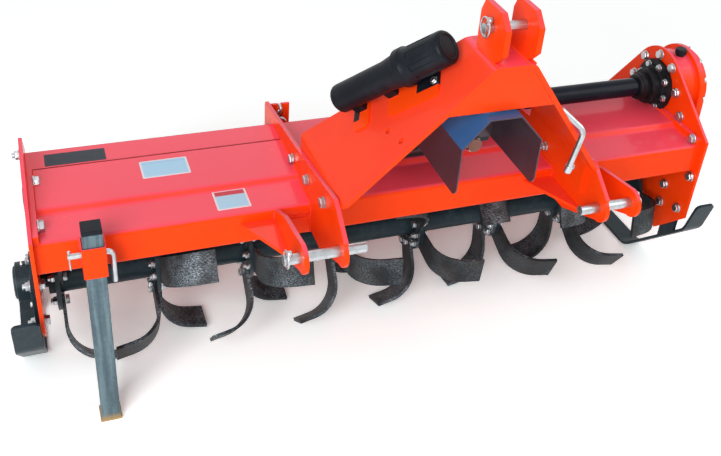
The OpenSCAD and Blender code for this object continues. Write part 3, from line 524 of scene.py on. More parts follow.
@dataclass(frozen=True)
class GuardSheet(Grained):
    """Coated sheet, with a painted blue sky reflection on the faces that look up."""

    slot: str = "guard_sheet"
    body: Colour = (0.058, 0.036, 0.048)
    pale: Colour = (0.10, 0.16, 0.26)
    rough: float = 0.26
    spread: float = 0.12
    metal: float = 0.3
    cloud: tuple = (11.0, 3)
    cloud_edges: tuple = (0.5, 0.8)
    cloud_share: float = 0.25
    grain: tuple = (300.0, 3)
    grain_depth: float = 0.00004
    # Painted blue sky reflection on faces that look up.
    sky: Colour = (0.035, 0.165, 0.43)
    top_faces: tuple = (0.2, 0.75)

    def tint(self, shader: Shader, cloud: Sock) -> Sock:
        """Colour with a painted sky reflection on faces that look up, under a haze."""
        colour = shader.mix(shader.facing("Z").ramp(*self.top_faces), self.body, self.sky)
        return shader.mix(cloud.ramp(*self.cloud_edges) * self.cloud_share, colour, self.pale)


@dataclass(frozen=True)
class MouldedPlastic(Grained):
    """Moulded plastic with a fine grain."""

    slot: str = "black_plastic"
    body: Colour = (0.006, 0.008, 0.012)
    pale: Colour = (0.013, 0.017, 0.023)
    specular: float = 0.12


@dataclass(frozen=True)
class TabPaint(MouldedPlastic):
    """Moulded bracket whose tabs are oversprayed with the panel's paint, away from the tube."""

    rough: float = 0.26
    paint: Colour = (0.95, 0.062, 0.004)
    into_tube: Matrix = Matrix.Identity(4)
    bare: tuple = ((0.182, 0.4), (-0.1, 0.022))
    bare_from: float = -0.038
    saddle_top: float = 0.041
    soft: float = 0.0006

    def measure(self, shader: Shader, row: int) -> Sock:
        """Coordinate in the tube's own frame."""
        x, y, z, shift = self.into_tube[row]
        return shader.place("X") * x + shader.place("Y") * y + shader.place("Z") * z + shift

    def tint(self, shader: Shader, cloud: Sock) -> Sock:
        """Black near the tube, and paint beyond."""
        deep, across, along = (self.measure(shader, row) for row in range(3))
        near = across.ramp(self.bare_from, self.bare_from + self.soft)
        bare = 1 - deep.ramp(self.saddle_top - self.soft, self.saddle_top)
        for low, high in self.bare:
            bare = bare.most(along.within(low, high + self.soft, self.soft) * near)
        return shader.mix(bare, self.paint, super().tint(shader, cloud))


@dataclass(frozen=True)
class GlossDark(MouldedPlastic):
    """Smooth dark paint with a high gloss."""

    slot: str = "tube_steel"
    body: Colour = (0.006, 0.009, 0.017)
    pale: Colour = (0.012, 0.017, 0.030)
    rough: float = 0.14
    spread: float = 0.12
    cloud: tuple = (12.0, 3)
    cloud_edges: tuple = (0.4, 0.7)
    grain: tuple = (380.0, 2)
    grain_depth: float = 0.00004


@dataclass(frozen=True)
class BlankPrint(Finish):
    """Blank sticker with a plain field, a plain strip behind it and a border round both."""

    slot: str = "guard_sheet"
    field_colour: Colour = (0.7, 0.7, 0.7)
    strip_colour: Colour = (0.7, 0.7, 0.7)
    border_colour: Colour = (0.7, 0.7, 0.7)
    strip_from: float = 1.0
    low: tuple = (0.0, 0.0)
    high: tuple = (1.0, 1.0)
    grime: Colour = (0.5, 0.45, 0.42)
    grime_share: float = 0.06
    cloud: tuple = (40.0, 3)
    rough: float = 0.3
    spread: float = 0.15
    specular: float = 0.2

    def nodes(self, shader: Shader) -> Material:
        """Build the print."""
        x, y = shader.place("X"), shader.place("Y")
        inside = x.within(self.low[0], self.high[0]) * y.within(self.low[1], self.high[1])
        strip = y.ramp(self.strip_from, self.strip_from + SOFT_STEP)
        colour = shader.mix(strip, self.field_colour, self.strip_colour)
        colour = shader.mix(inside, self.border_colour, colour)
        cloud = shader.noise(*self.cloud)
        return shader.close(
            Base_Color=shader.mix(cloud * self.grime_share, colour, self.grime),
            Roughness=self.rough + self.spread * cloud, Specular_IOR_Level=self.specular)


FINISHES: dict[str, Finish] = {f.slot: f for f in (
    GlossPaint(), SatinPaint(), ForgedBlade(), BrightZinc(), Galvanised(), GuardSheet(), MouldedPlastic(),
    GlossDark(), MouldedPlastic("black_metal", "", (0.010, 0.011, 0.013), (0.03, 0.03, 0.033), 0.28),
    SatinPaint("gearbox_iron", "", (0.028, 0.031, 0.036), (0.06, 0.064, 0.07), 0.45, grain=(90.0, 4, 0.6),
               grain_depth=0.0005))}
ZINC = FINISHES["bright_zinc"]
# The gussets carry less of the painted sky reflection on their upward faces.
GUSSET_PAINT = GlossPaint(name="gusset_paint", painted_reflection_share=0.15)
WAX_CAP = MouldedPlastic("black_plastic", "wax_cap", (0.30, 0.13, 0.10), (0.42, 0.21, 0.17), 0.4)
# Dark red strip that stands for the shadow in the seam's gap: painted shadow.
SEAM_SHADOW = MouldedPlastic("black_plastic", "seam_painted_shadow", (0.20, 0.012, 0.014), (0.25, 0.018, 0.020), 0.5)
SLOT_OF = {row["node"]: row["material_slot"] for row in frame["record"]["subparts"]}
BODY_OF = {node: body for body, nodes in frame["record"]["behaviour"]["bodies"].items() for node in nodes}


class Bench:
    """Blender's operators with one piece in hand at a time."""

    wire_sides = 10
    rod_sides = 20
    bend_steps = 8
    merge_share = 1 / 200

    @staticmethod
    def clear() -> None:
        """Let go of everything."""
        bpy.ops.object.select_all(action="DESELECT")

    @classmethod
    def take(cls, *pieces: Piece) -> None:
        """Select these pieces alone, the first one active."""
        cls.clear()
        for piece in pieces:
            piece.select_set(True)
        bpy.context.view_layer.objects.active = pieces[0]

    @classmethod
    @contextmanager
    def editing(cls, piece: Piece) -> Iterator[Mesh]:
        """Edit mode on one piece, with all of it selected."""
        cls.take(piece)
        bpy.ops.object.mode_set(mode="EDIT")
        bpy.ops.mesh.select_all(action="SELECT")
        yield bmesh.from_edit_mesh(piece.data)
        bpy.ops.object.mode_set(mode="OBJECT")

    @staticmethod
    def pick(mesh: Mesh, wanted: Callable[[bmesh.types.BMFace], bool]) -> None:
        """Select the faces that pass a test, in edit mode."""
        bpy.ops.mesh.select_mode(type="FACE")
        for face in mesh.faces:
            face.select_set(bool(wanted(face)))
        mesh.select_flush_mode()

    @classmethod
    def settle(cls, piece: Piece, place: Matrix = Matrix.Identity(4)) -> Piece:
        """Put a piece's place into its mesh.

        Args:
            piece: The piece.
            place: Where it goes.

        Returns:
            The same piece, its object at the origin.
        """
        piece.matrix_world = place @ piece.matrix_world
        cls.take(piece)
        bpy.ops.object.transform_apply(location=True, rotation=True, scale=True)
        return piece

    @classmethod
    def rod(cls, radius: float, length: float, sides: int = 24) -> Piece:
        """Round or many-sided bar that stands on the origin."""
        cls.clear()
        bpy.ops.mesh.primitive_cylinder_add(vertices=sides, radius=radius, depth=length,
                                            location=(0, 0, length / 2))
        return cls.settle(bpy.context.object)

    @classmethod
    def block(cls, size: Sequence[float]) -> Piece:
        """Block that stands on the origin, centred in x and y."""
        cls.clear()
        bpy.ops.mesh.primitive_cube_add(size=1, location=(0, 0, size[2] / 2), scale=size)
        return cls.settle(bpy.context.object)

    @classmethod
    def ring(cls, radius: float, wire: float, sides: int = 28) -> Piece:
        """Ring of round wire about the origin."""
        cls.clear()
        bpy.ops.mesh.primitive_torus_add(major_radius=radius, minor_radius=wire, major_segments=sides,
                                         minor_segments=cls.wire_sides)
        return cls.settle(bpy.context.object)

    @classmethod
    def stretch(cls, ring: Piece, by: float, ways: Sequence[int], least: float = 0.0) -> None:
        """Pull a ring out along y.

        Args:
            ring: The ring.
            by: How far a half moves, in metres.
            ways: The halves that move, 1 for the one towards y and -1 for the other.
            least: Distance from the middle beyond which points move.
        """
        with cls.editing(ring) as mesh:
            for way in ways:
                for vert in mesh.verts:
                    vert.select_set(vert.co.y * way > least)
                mesh.select_flush_mode()
                bpy.ops.transform.translate(value=(0, way * by, 0))

    @classmethod
    def turned(cls, profile: Pairs, sides: int) -> Piece:
        """Round piece about the z axis.

        Args:
            profile: Radius and height of each step, in millimetres, from its foot to its end face.
            sides: Faces round it.

        Returns:
            The closed piece.
        """
        cls.clear()
        (was_r, was_z), *steps = profile
        bpy.ops.mesh.primitive_circle_add(vertices=sides, radius=was_r * MM, fill_type="NGON",
                                          location=(0, 0, was_z * MM))
        piece = cls.settle(bpy.context.object)
        with cls.editing(piece):
            for r, z in steps:
                bpy.ops.mesh.extrude_region_move(TRANSFORM_OT_translate={"value": (0, 0, (z - was_z) * MM)})
                bpy.ops.transform.resize(value=(r / was_r, r / was_r, 1), center_override=(0, 0, z * MM))
                was_r, was_z = r, z
            bpy.ops.mesh.select_all(action="SELECT")
            bpy.ops.mesh.normals_make_consistent(inside=False)
        return piece

    @classmethod
    def bent(cls, points: Sequence[Vector], radius: float, bend: float) -> Piece:
        """Round rod through points, turned on an arc at each corner.

        Args:
            points: Its start, its corners and its end.
            radius: Radius of the rod.
            bend: Radius of each arc.

        Returns:
            The closed rod.
        """
        cls.clear()
        bpy.ops.mesh.primitive_circle_add(vertices=cls.rod_sides, radius=radius, fill_type="NGON")
        rod = cls.settle(bpy.context.object, stand(points[0], points[1] - points[0]))
        here = points[0]
        with cls.editing(rod):
            for before, corner, after in zip(points, points[1:], points[2:]):
                way, turned = (corner - before).normalized(), (after - corner).normalized()
                angle = way.angle(turned)
                inset = bend * math.tan(angle / 2)
                start = corner - way * inset
                inward = (turned - way * way.dot(turned)).normalized()
                bpy.ops.mesh.extrude_region_move(TRANSFORM_OT_translate={"value": start - here})
                bpy.ops.mesh.spin(steps=cls.bend_steps, angle=-angle, center=start + inward * bend,
                                  axis=way.cross(turned).normalized())
                here = corner + turned * inset
            bpy.ops.mesh.extrude_region_move(TRANSFORM_OT_translate={"value": points[-1] - here})
            bpy.ops.mesh.select_all(action="SELECT")
            bpy.ops.mesh.remove_doubles(threshold=radius * cls.merge_share)
            bpy.ops.mesh.normals_make_consistent(inside=False)
        return rod

    @classmethod
    def cut(cls, piece: Piece, tool: Piece) -> None:
        """Take a tool's shape out of a piece, and use the tool up."""
        cls.take(piece)
        cutter = piece.modifiers.new("cut", "BOOLEAN")
        cutter.object = tool
        bpy.ops.object.modifier_apply(modifier=cutter.name)
        bpy.data.objects.remove(tool)

    @classmethod
    def ease(cls, piece: Piece, width: float = 0.0, segments: int = 2) -> Piece:
        """Round a piece's sharp edges and smooth its shading.

        Args:
            piece: The piece.
            width: Width of the rounding in metres, or 0 for none.
            segments: Faces across the rounding.

        Returns:
            The same piece.
        """
        cls.take(piece)
        if width > 0:
            bevel = piece.modifiers.new("ease", "BEVEL")
            bevel.width = width
            bevel.segments = segments
            bevel.limit_method = "ANGLE"
            bevel.angle_limit = SMOOTH_ANGLE
            bpy.ops.object.modifier_apply(modifier=bevel.name)
        bpy.ops.object.shade_smooth_by_angle(angle=SMOOTH_ANGLE)
        weigh = piece.modifiers.new("weigh", "WEIGHTED_NORMAL")
        weigh.keep_sharp = True
        bpy.ops.object.modifier_apply(modifier=weigh.name)
        return piece

    @classmethod
    def copy(cls, piece: Piece) -> Piece:
        """Copy of a piece with a mesh of its own."""
        cls.take(piece)
        bpy.ops.object.duplicate()
        return bpy.context.object

    @classmethod
    def join(cls, pieces: Sequence[Piece]) -> Piece:
        """Make one piece of several."""
        cls.take(*pieces)
        if len(pieces) > 1:
            bpy.ops.object.join()
        return cls.settle(pieces[0])

    @classmethod
    def repeat(cls, pattern: Piece, places: Sequence[Matrix]) -> Piece:
        """Copies of a pattern at many places, joined, with the pattern itself used up."""
        copies = []
        for place in places:
            made = cls.copy(pattern)
            made.matrix_world = place
            copies.append(made)
        bpy.data.objects.remove(pattern)
        return cls.join(copies)

    @staticmethod
    def hand_in(piece: Piece, name: str, finish: Finish, body: str = "frame",
                replaces: Sequence[str] = ()) -> None:
        """Name, dress and place a finished piece.

        Args:
            piece: The piece.
            name: Its name.
            finish: Its finish.
            body: The body that it moves with.
            replaces: Nodes that it stands for.
        """
        piece.name = name
        piece.data.name = name
        piece.data.materials.clear()
        piece.data.materials.append(finish.material())
        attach(piece, body)
        if replaces:
            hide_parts(*replaces)
        LOG.info("%s rides on %s", name, body)


def stand(point: Vector, axis: Vector, spin: float = 0.0) -> Matrix:
    """Place of a piece that stands on a point along an axis.

    Args:
        point: Where it stands.
        axis: The way that its own z axis goes.
        spin: Turn about that axis, in radians.

    Returns:
        The place.
    """
    turn = UP.rotation_difference(axis.normalized()).to_matrix().to_4x4()
    return Matrix.Translation(point) @ turn @ Matrix.Rotation(spin, 4, "Z")


def gearbox_out() -> Vector:
    """The way that the sloped part of the gearbox's top faces, in millimetres."""
    (y0, z0), (y1, z1) = GEARBOX_SLOPE
    return Vector((0, z0 - z1, y1 - y0))


@dataclass
class Plates:
    """Every rigid node, copied with its edges eased and its finish laid on."""

    ease_mm: float = 1.0
    own_ease_mm: dict[str, float] = field(default_factory=lambda: {
        "deck": 0.8, "rear_cover": 0.8, "tailboard": 0.8, "input_guard": 0.6, "gear_case": 2.5,
        "gearbox": 5.0, "park_leg": 2.0, "leg_cap": 2.0, "leg_sleeve": 1.5, "document_tube": 0.0,
        "tail_chains": 0.0, "left_bearing": 2.0, "headstock": 1.4, "headstock_front": 1.4})
    made_elsewhere: tuple = ("input_shaft", "tube_cap", "tube_brackets", "hook_rod", "leg_pin")
    flat_angle: float = math.radians(0.6)
    merge_mm: float = 0.02
    nose_r_mm: float = 13.0
    panel_holes: tuple = ((686, -112, 705), (693, -166, 713))
    panel_hole_r: float = 6.5
    drill_half: float = 39.0
    panel_slope: float = 52.0
    nose_segments: int = 5

    def build(self) -> None:
        """Copy and dress every node that no other class makes."""
        for node in sorted(set(frame["nodes"]) - set(self.made_elsewhere)):
            self.eased(node, GUSSET_PAINT if node == "hitch_gussets" else None)

    def eased(self, node: str, finish: Finish | None = None) -> None:
        """Copy one node, merge its triangles into faces, ease its edges and dress it.

        Args:
            node: Name of the node.
            finish: Its finish, if not its slot's own.
        """
        piece = Bench.copy(frame["nodes"][node])
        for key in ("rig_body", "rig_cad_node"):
            del piece[key]
        piece.parent = None
        bpy.ops.mesh.customdata_custom_splitnormals_clear()
        with Bench.editing(piece) as mesh:
            bpy.ops.mesh.remove_doubles(threshold=self.merge_mm * MM)
            bpy.ops.mesh.dissolve_limited(angle_limit=self.flat_angle)
            if node.endswith("_skid"):
                self.round_nose(mesh)
            if node == "gearbox":
                self.slope_gearbox()
        if node == "headstock":
            self.pierce(piece)
        Bench.ease(piece, self.own_ease_mm.get(node, self.ease_mm) * MM)
        Bench.hand_in(piece, f"{node}_piece", finish or FINISHES[SLOT_OF[node]], BODY_OF[node], [node])

    def round_nose(self, mesh: Mesh) -> None:
        """Round the two upper corners of a skid's nose, in edit mode."""
        front = min(v.co.y for v in mesh.verts) + self.nose_r_mm * MM
        top = max(v.co.z for v in mesh.verts if v.co.y < front) - self.nose_r_mm * MM
        bpy.ops.mesh.select_mode(type="EDGE")
        for edge in mesh.edges:
            a, b = (v.co for v in edge.verts)
            across = abs(a.x - b.x) < self.merge_mm * MM and (a - b).length < self.nose_r_mm * MM
            edge.select_set(across and min(a.z, b.z) > top and max(a.y, b.y) < front + self.nose_r_mm * MM)
        bpy.ops.mesh.bevel(offset=self.nose_r_mm * MM, segments=self.nose_segments)

    def slope_gearbox(self) -> None:
        """Slope the casting's top down to its rear wall, in edit mode."""
        bpy.ops.mesh.select_all(action="SELECT")
        bpy.ops.mesh.bisect(plane_co=at(0, *GEARBOX_SLOPE[0]), plane_no=gearbox_out(), use_fill=True,
                            clear_outer=True)

    def pierce(self, piece: Piece) -> None:
        """Drill the two small holes in the headstock's left panel."""
        slope = math.radians(self.panel_slope)
        out = Vector((-math.sin(slope), 0, math.cos(slope)))
        drill = Bench.rod(self.panel_hole_r * MM, 2 * self.drill_half * MM)
        half = out * self.drill_half * MM
        drills = Bench.repeat(drill, [stand(at(*hole) - half, out) for hole in self.panel_holes])
        Bench.cut(piece, drills)


@dataclass(frozen=True)
class HexBolt:
    """Hexagon head on a washer, or a nut with the bolt's end through it."""

    thread_mm: float = 12.0
    nut: bool = False
    washer_share: float = 1.0
    washer_t_share: float = 0.2
    washer_ease: float = 0.05
    head_share: float = 0.62
    across_share: float = 0.86
    chamfer: float = 0.12
    top_face: float = 0.9
    head_ease: float = 0.03
    end_share: float = 0.5
    end_ease: float = 0.08

    def pattern(self) -> Piece:
        """Model one that stands on the origin."""
        d = self.thread_mm * MM
        washer_t = self.washer_t_share * d
        washer = Bench.rod(d * self.washer_share, washer_t, sides=20)
        washer = Bench.ease(washer, self.washer_ease * d, segments=1)
        head = Bench.rod(d * self.across_share, d * self.head_share, sides=6)
        with Bench.editing(head) as mesh:
            Bench.pick(mesh, lambda face: face.normal.z > self.top_face)
            bpy.ops.mesh.bevel(offset=self.chamfer * d, segments=1)
        lift = Matrix.Translation((0, 0, washer_t))
        parts = [washer, Bench.settle(Bench.ease(head, self.head_ease * d, segments=1), lift)]
        if self.nut:
            end = Bench.rod(d / 2, d * (self.head_share + self.end_share), sides=16)
            parts.append(Bench.settle(Bench.ease(end, self.end_ease * d, segments=1), lift))
        return Bench.join(parts)


@dataclass
class Seat:
    """A bolt's seat: its place in millimetres and the way that its head faces."""

    x: float
    y: float
    z: float
    side: Side
    spin_step: float = 0.7

    def matrix(self, number: int = 0) -> Matrix:
        """Place of the bolt, each turned a little differently."""
        return stand(at(self.x, self.y, self.z), self.side.axis, number * self.spin_step)


def bolt_on(name: str, bolt: HexBolt, seats: Sequence[Seat]) -> None:
    """Model a bolt once, set it on its seats on the frame and dress it in zinc.

    Args:
        name: Name of the piece.
        bolt: The bolt.
        seats: Where it sits.
    """
    piece = Bench.repeat(bolt.pattern(), [seat.matrix(i) for i, seat in enumerate(seats)])
    Bench.hand_in(piece, name, ZINC)


def turn_on(name: str, profile: Pairs, seat: Seat, finish: Finish, sides: int,
            ease: float = 0.0, body: str = "frame") -> None:
    """Turn a round piece, set it on its seat and dress it.

    Args:
        name: Name of the piece.
        profile: Its profile, as for Bench.turned.
        seat: Where it sits.
        finish: Its finish.
        sides: Faces round it.
        ease: Width of its edges' rounding, in metres.
        body: The body that it moves with.
    """
    piece = Bench.ease(Bench.turned(profile, sides), ease)
    Bench.hand_in(Bench.settle(piece, seat.matrix()), name, finish, body)


def rows_of(x: float, rows: Pairs, side: Side) -> list[Seat]:
    """Seats on one upright face, from each one's y and z."""
    return [Seat(x, y, z, side) for y, z in rows]


def circle_of(x: float, axis: tuple, ring: tuple, side: Side) -> list[Seat]:
    """Seats on a circle about an axis along x.

    Args:
        x: Place of the seats' face.
        axis: The axis's y and z.
        ring: The circle's radius, how many seats it has and the first one's angle in degrees.
        side: The way that the heads face.

    Returns:
        The seats.
    """
    (y, z), (radius, count, start) = axis, ring
    angles = [math.radians(start + 360 * k / count) for k in range(count)]
    return rows_of(x, [(y + radius * math.cos(a), z + radius * math.sin(a)) for a in angles], side)


@dataclass
class FrameBolts:
    """Bolts and nuts that hold the frame's plates together."""

    bolt_mm: float = 13.5
    end_bolt_mm: float = 17
    nut_mm: float = 12
    plate_off: float = 305.5
    flange_off: float = 285.5
    hitch_rows: tuple = ((147, 491), (34, 509), (-84, 531))
    right_inner: float = 1600.0
    right_rows: tuple = ((288, 580), (231, 611), (174, 599), (136, 546), (316, 513), (98, 497),
                         (84, 294), (82, 238), (14, 263), (2, 372))
    bar_t: float = 12.0
    bar_rows: tuple = ((20, 478),)
    end_plate_t: float = 8.0
    left_nut_rows: tuple = ((262, 516),)
    right_nut_rows: tuple = ((98, 497), (2, 372))
    skid_bar_t: float = 10.0
    skid_rows: tuple = ((42, 332), (42, 232), (364, 322), (364, 272))
    skid_rear_y: float = 300.0
    end_rows: tuple = ((208, 474), (50, 473))

    def heads(self) -> list[Seat]:
        """Seats of the bolt heads."""
        return [*rows_of(MIDDLE_X - self.plate_off, self.hitch_rows, Side.LEFT),
                *rows_of(MIDDLE_X + self.plate_off, self.hitch_rows, Side.RIGHT),
                *rows_of(self.right_inner, self.right_rows, Side.LEFT),
                *rows_of(self.right_inner - self.bar_t, self.bar_rows, Side.LEFT),
                *rows_of(0, self.skid_rows, Side.RIGHT)]

    def nuts(self) -> list[Seat]:
        """Seats of the nuts."""
        outer_left, outer_right = -self.end_plate_t, self.right_inner + self.end_plate_t
        seats = [*rows_of(MIDDLE_X - self.flange_off, self.hitch_rows, Side.RIGHT),
                 *rows_of(MIDDLE_X + self.flange_off, self.hitch_rows, Side.LEFT),
                 *rows_of(outer_left, self.left_nut_rows, Side.LEFT),
                 *rows_of(outer_right, self.right_nut_rows, Side.RIGHT)]
        for y, z in self.skid_rows:
            seats.append(Seat(outer_right + self.skid_bar_t, y, z, Side.RIGHT))
            if y < self.skid_rear_y:
                seats.append(Seat(outer_left - self.skid_bar_t, y, z, Side.LEFT))
        return seats

    def build(self) -> None:
        """Model the bolts and the nuts."""
        bolt_on("frame_bolts", HexBolt(self.bolt_mm), self.heads())
        bolt_on("deck_end_bolts", HexBolt(self.end_bolt_mm), rows_of(self.bar_t, self.end_rows, Side.RIGHT))
        bolt_on("frame_nuts", HexBolt(self.nut_mm, nut=True), self.nuts())


@dataclass
class RotorBolts:
    """Blade bolts: two heads on each blade's root and their nuts behind the flange."""

    thread_mm: float = 11
    washer_share: float = 0.85
    blades: int = 6
    flange_half: float = 5
    blade_face: float = 13
    bolt_r: float = 60
    bolt_half: float = 14
    lean: float = 15
    turns: tuple = (42, 73, 86, 99, 112, 6, 17, 35)

    def places(self) -> tuple[list[Matrix], list[Matrix]]:
        """Places of the heads and of the nuts."""
        heads, nuts = [], []
        lean = math.radians(self.lean)
        for ring, turn in enumerate(self.turns):
            x = FIRST_FLANGE_X + ring * FLANGE_STEP
            for k in range(self.blades):
                side = 1 if k % 2 == 0 else -1
                if (side > 0 and ring == len(self.turns) - 1) or (side < 0 and ring == 0):
                    continue
                angle = math.radians(360 / self.blades * k + turn)
                for t in (-self.bolt_half, self.bolt_half):
                    out, over = self.bolt_r - t * math.sin(lean), t * math.cos(lean)
                    y = ROTOR_AXIS[0] - out * math.sin(angle) + over * math.cos(angle)
                    z = ROTOR_AXIS[1] + out * math.cos(angle) + over * math.sin(angle)
                    heads.append(stand(at(x + side * self.blade_face, y, z), Vector((side, 0, 0)), angle))
                    nuts.append(stand(at(x - side * self.flange_half, y, z), Vector((-side, 0, 0)), angle))
        return heads, nuts

    def build(self) -> None:
        """Model the heads and the nuts."""
        heads, nuts = self.places()
        for name, nut, places in (("blade_bolts", False, heads), ("blade_nuts", True, nuts)):
            piece = Bench.repeat(HexBolt(self.thread_mm, nut, self.washer_share).pattern(), places)
            Bench.hand_in(piece, name, ZINC, "rotor")


@dataclass
class SideDrive:
    """Fittings of the side drive: flange bolts, hub collars, gear-case bolts, caps and plugs."""

    flange_face: float = 1588
    flange_bolt: HexBolt = HexBolt(10)
    flange_ring: tuple = (57, 8, 12)
    rim_face: float = 1677
    rim_top_r: float = 98
    rim_low_r: float = 90
    rim_step: float = 30
    rim_steps: int = 7
    rim_shares: tuple = (0.25, 0.5, 0.75)
    rim_bolt: HexBolt = HexBolt(8, washer_share=0.8)
    case_face: float = 1693
    collars: tuple = (((54, 0), (54, 6), (51, 8)), ((47, 20), (47, 27), (44.5, 29)),
                      ((36, 38), (36, 47), (33.5, 49)))
    cap: tuple = ((56, 0), (56, 5), (55, 6), (42, 6), (40, 12), (34, 15))
    cap_t: float = 6
    cap_ring: tuple = (48, 6, 30)
    plug: HexBolt = HexBolt(18)
    plug_rows: tuple = ((215, 400), (221, 560))
    filler: tuple = ((11, 0), (11, 6), (15, 6.5), (15, 18), (13, 20))
    filler_at: tuple = (1640, 206, 617)
    bearing_face: float = -20
    bearing_bolt: HexBolt = HexBolt(10, washer_share=0.9)
    bearing_ring: tuple = (56, 6, 30)
    hub_face: float = -52
    hub_cap: tuple = ((38, 0), (37, 4), (30, 6))
    nipple: tuple = ((4, 0), (4, 5), (2.4, 7), (3.2, 10), (1.6, 12))
    nipple_at: tuple = (-36, 201, 264)

    def rim(self) -> list[Seat]:
        """Seats round the gear case's rim."""
        rows = []
        for k in range(self.rim_steps):
            a = math.radians(self.rim_step * k)
            top, low = (Vector((math.cos(a), math.sin(a))) * r for r in (self.rim_top_r, self.rim_low_r))
            rows += [Vector(DRIVE_AXIS) + top, Vector(ROTOR_AXIS) - low]
        for share in self.rim_shares:
            y, z = Vector(ROTOR_AXIS).lerp(Vector(DRIVE_AXIS), share)
            half = self.rim_low_r + (self.rim_top_r - self.rim_low_r) * share
            rows += [(y - half, z), (y + half, z)]
        return rows_of(self.rim_face, rows, Side.RIGHT)

    def build(self) -> None:
        """Model the fittings."""
        bolt_on("drive_flange_bolts", self.flange_bolt,
                circle_of(self.flange_face, DRIVE_AXIS, self.flange_ring, Side.LEFT))
        collars = Bench.join([Bench.ease(Bench.turned(profile, sides=40)) for profile in self.collars])
        collars = Bench.settle(collars, Seat(self.flange_face, *DRIVE_AXIS, Side.LEFT).matrix())
        Bench.hand_in(collars, "drive_hub_collars", FINISHES["black_metal"])
        on_cap = circle_of(self.case_face + self.cap_t, ROTOR_AXIS, self.cap_ring, Side.RIGHT)
        bolt_on("gear_case_bolts", self.rim_bolt, self.rim() + on_cap)
        turn_on("gear_case_cap", self.cap, Seat(self.case_face, *ROTOR_AXIS, Side.RIGHT), FINISHES["paint"],
                sides=48, ease=COVER_EASE)
        bolt_on("gear_case_plugs", self.plug, rows_of(self.case_face, self.plug_rows, Side.RIGHT))
        turn_on("gear_case_filler", self.filler, Seat(*self.filler_at, Side.TOP), FINISHES["black_plastic"],
                sides=24, ease=FINE_EASE)
        self.bearing()

    def bearing(self) -> None:
        """Model the left bearing's bolts, its cap and its grease nipple."""
        bolt_on("bearing_bolts", self.bearing_bolt,
                circle_of(self.bearing_face, ROTOR_AXIS, self.bearing_ring, Side.LEFT))
        turn_on("bearing_cap", self.hub_cap, Seat(self.hub_face, *ROTOR_AXIS, Side.LEFT),
                FINISHES["dark_steel"], sides=40, ease=COVER_EASE)
        turn_on("bearing_nipple", self.nipple, Seat(*self.nipple_at, Side.TOP), ZINC, sides=16)


@dataclass
class GearboxFittings:
    """Covers, bolts, breather and plugs on the gearbox."""

    top: float = 736
    cover: tuple = (130, 84, 10)
    cover_y: float = 8
    cover_edge: float = 14
    cover_ease: float = 0.003
    bolt: HexBolt = HexBolt(10, washer_share=0.9)
    left: float = 791
    right: float = 961
    drive_ring: tuple = (60, 8, 0)
    drive_shown: int = 5
    side_cover: tuple = ((68, 0), (68, 7), (66, 9), (40, 9), (36, 13))
    side_at: tuple = (205, 560)
    side_t: float = 9
    side_ring: tuple = (54, 8, 22.5)
    rear_at: tuple = (179, 668)
    rear_cover: tuple = ((46, 0), (46, 7), (44, 9))
    nose: tuple = ((46, 0), (46, 4), (44, 6))
    nose_y: float = -55
    nose_t: float = 6
    nose_bolt_r: float = 35
    nose_bolts: int = 6
    shaft_z: float = 655
    plug_rows: tuple = ((20, 640), (40, 700))
    breather: tuple = ((9, 0), (9, 8), (13, 9), (13, 20), (9, 24))

    def build(self) -> None:
        """Model the fittings."""
        lid = Bench.ease(Bench.block([v * MM for v in self.cover]), self.cover_ease, segments=3)
        lid = Bench.settle(lid, Matrix.Translation(at(MIDDLE_X, self.cover_y, self.top)))
        rounds = ((self.side_cover, 48, Seat(self.left, *self.side_at, Side.LEFT).matrix()),
                  (self.rear_cover, 40, stand(at(MIDDLE_X, *self.rear_at), gearbox_out())),
                  (self.nose, 40, Seat(MIDDLE_X, self.nose_y, self.shaft_z, Side.FRONT).matrix()))
        covers = [Bench.settle(Bench.turned(profile, sides), place) for profile, sides, place in rounds]
        covers = Bench.ease(Bench.join([lid, *covers]), COVER_EASE)
        Bench.hand_in(covers, "gearbox_covers", FINISHES["gearbox_iron"])
        bolt_on("gearbox_bolts", self.bolt, self.seats())
        seat = Seat(MIDDLE_X, self.cover_y, self.top + self.cover[2], Side.TOP)
        turn_on("gearbox_breather", self.breather, seat, FINISHES["black_plastic"], sides=24, ease=FINE_EASE)

    def seats(self) -> list[Seat]:
        """Seats of the covers' bolts."""
        half_x, half_y = (size / 2 - self.cover_edge for size in self.cover[:2])
        seats = [Seat(MIDDLE_X + sx * half_x, self.cover_y + sy * half_y, self.top + self.cover[2], Side.TOP)
                 for sx in (-1, 1) for sy in (-1, 0, 1)]
        seats += circle_of(self.left - self.side_t, self.side_at, self.side_ring, Side.LEFT)
        seats += circle_of(self.right, DRIVE_AXIS, self.drive_ring, Side.RIGHT)[:self.drive_shown]
        for a in (math.radians(360 / self.nose_bolts * k) for k in range(self.nose_bolts)):
            x, z = MIDDLE_X + self.nose_bolt_r * math.cos(a), self.shaft_z + self.nose_bolt_r * math.sin(a)
            seats.append(Seat(x, self.nose_y - self.nose_t, z, Side.FRONT))
        return seats + rows_of(self.left, self.plug_rows, Side.LEFT)


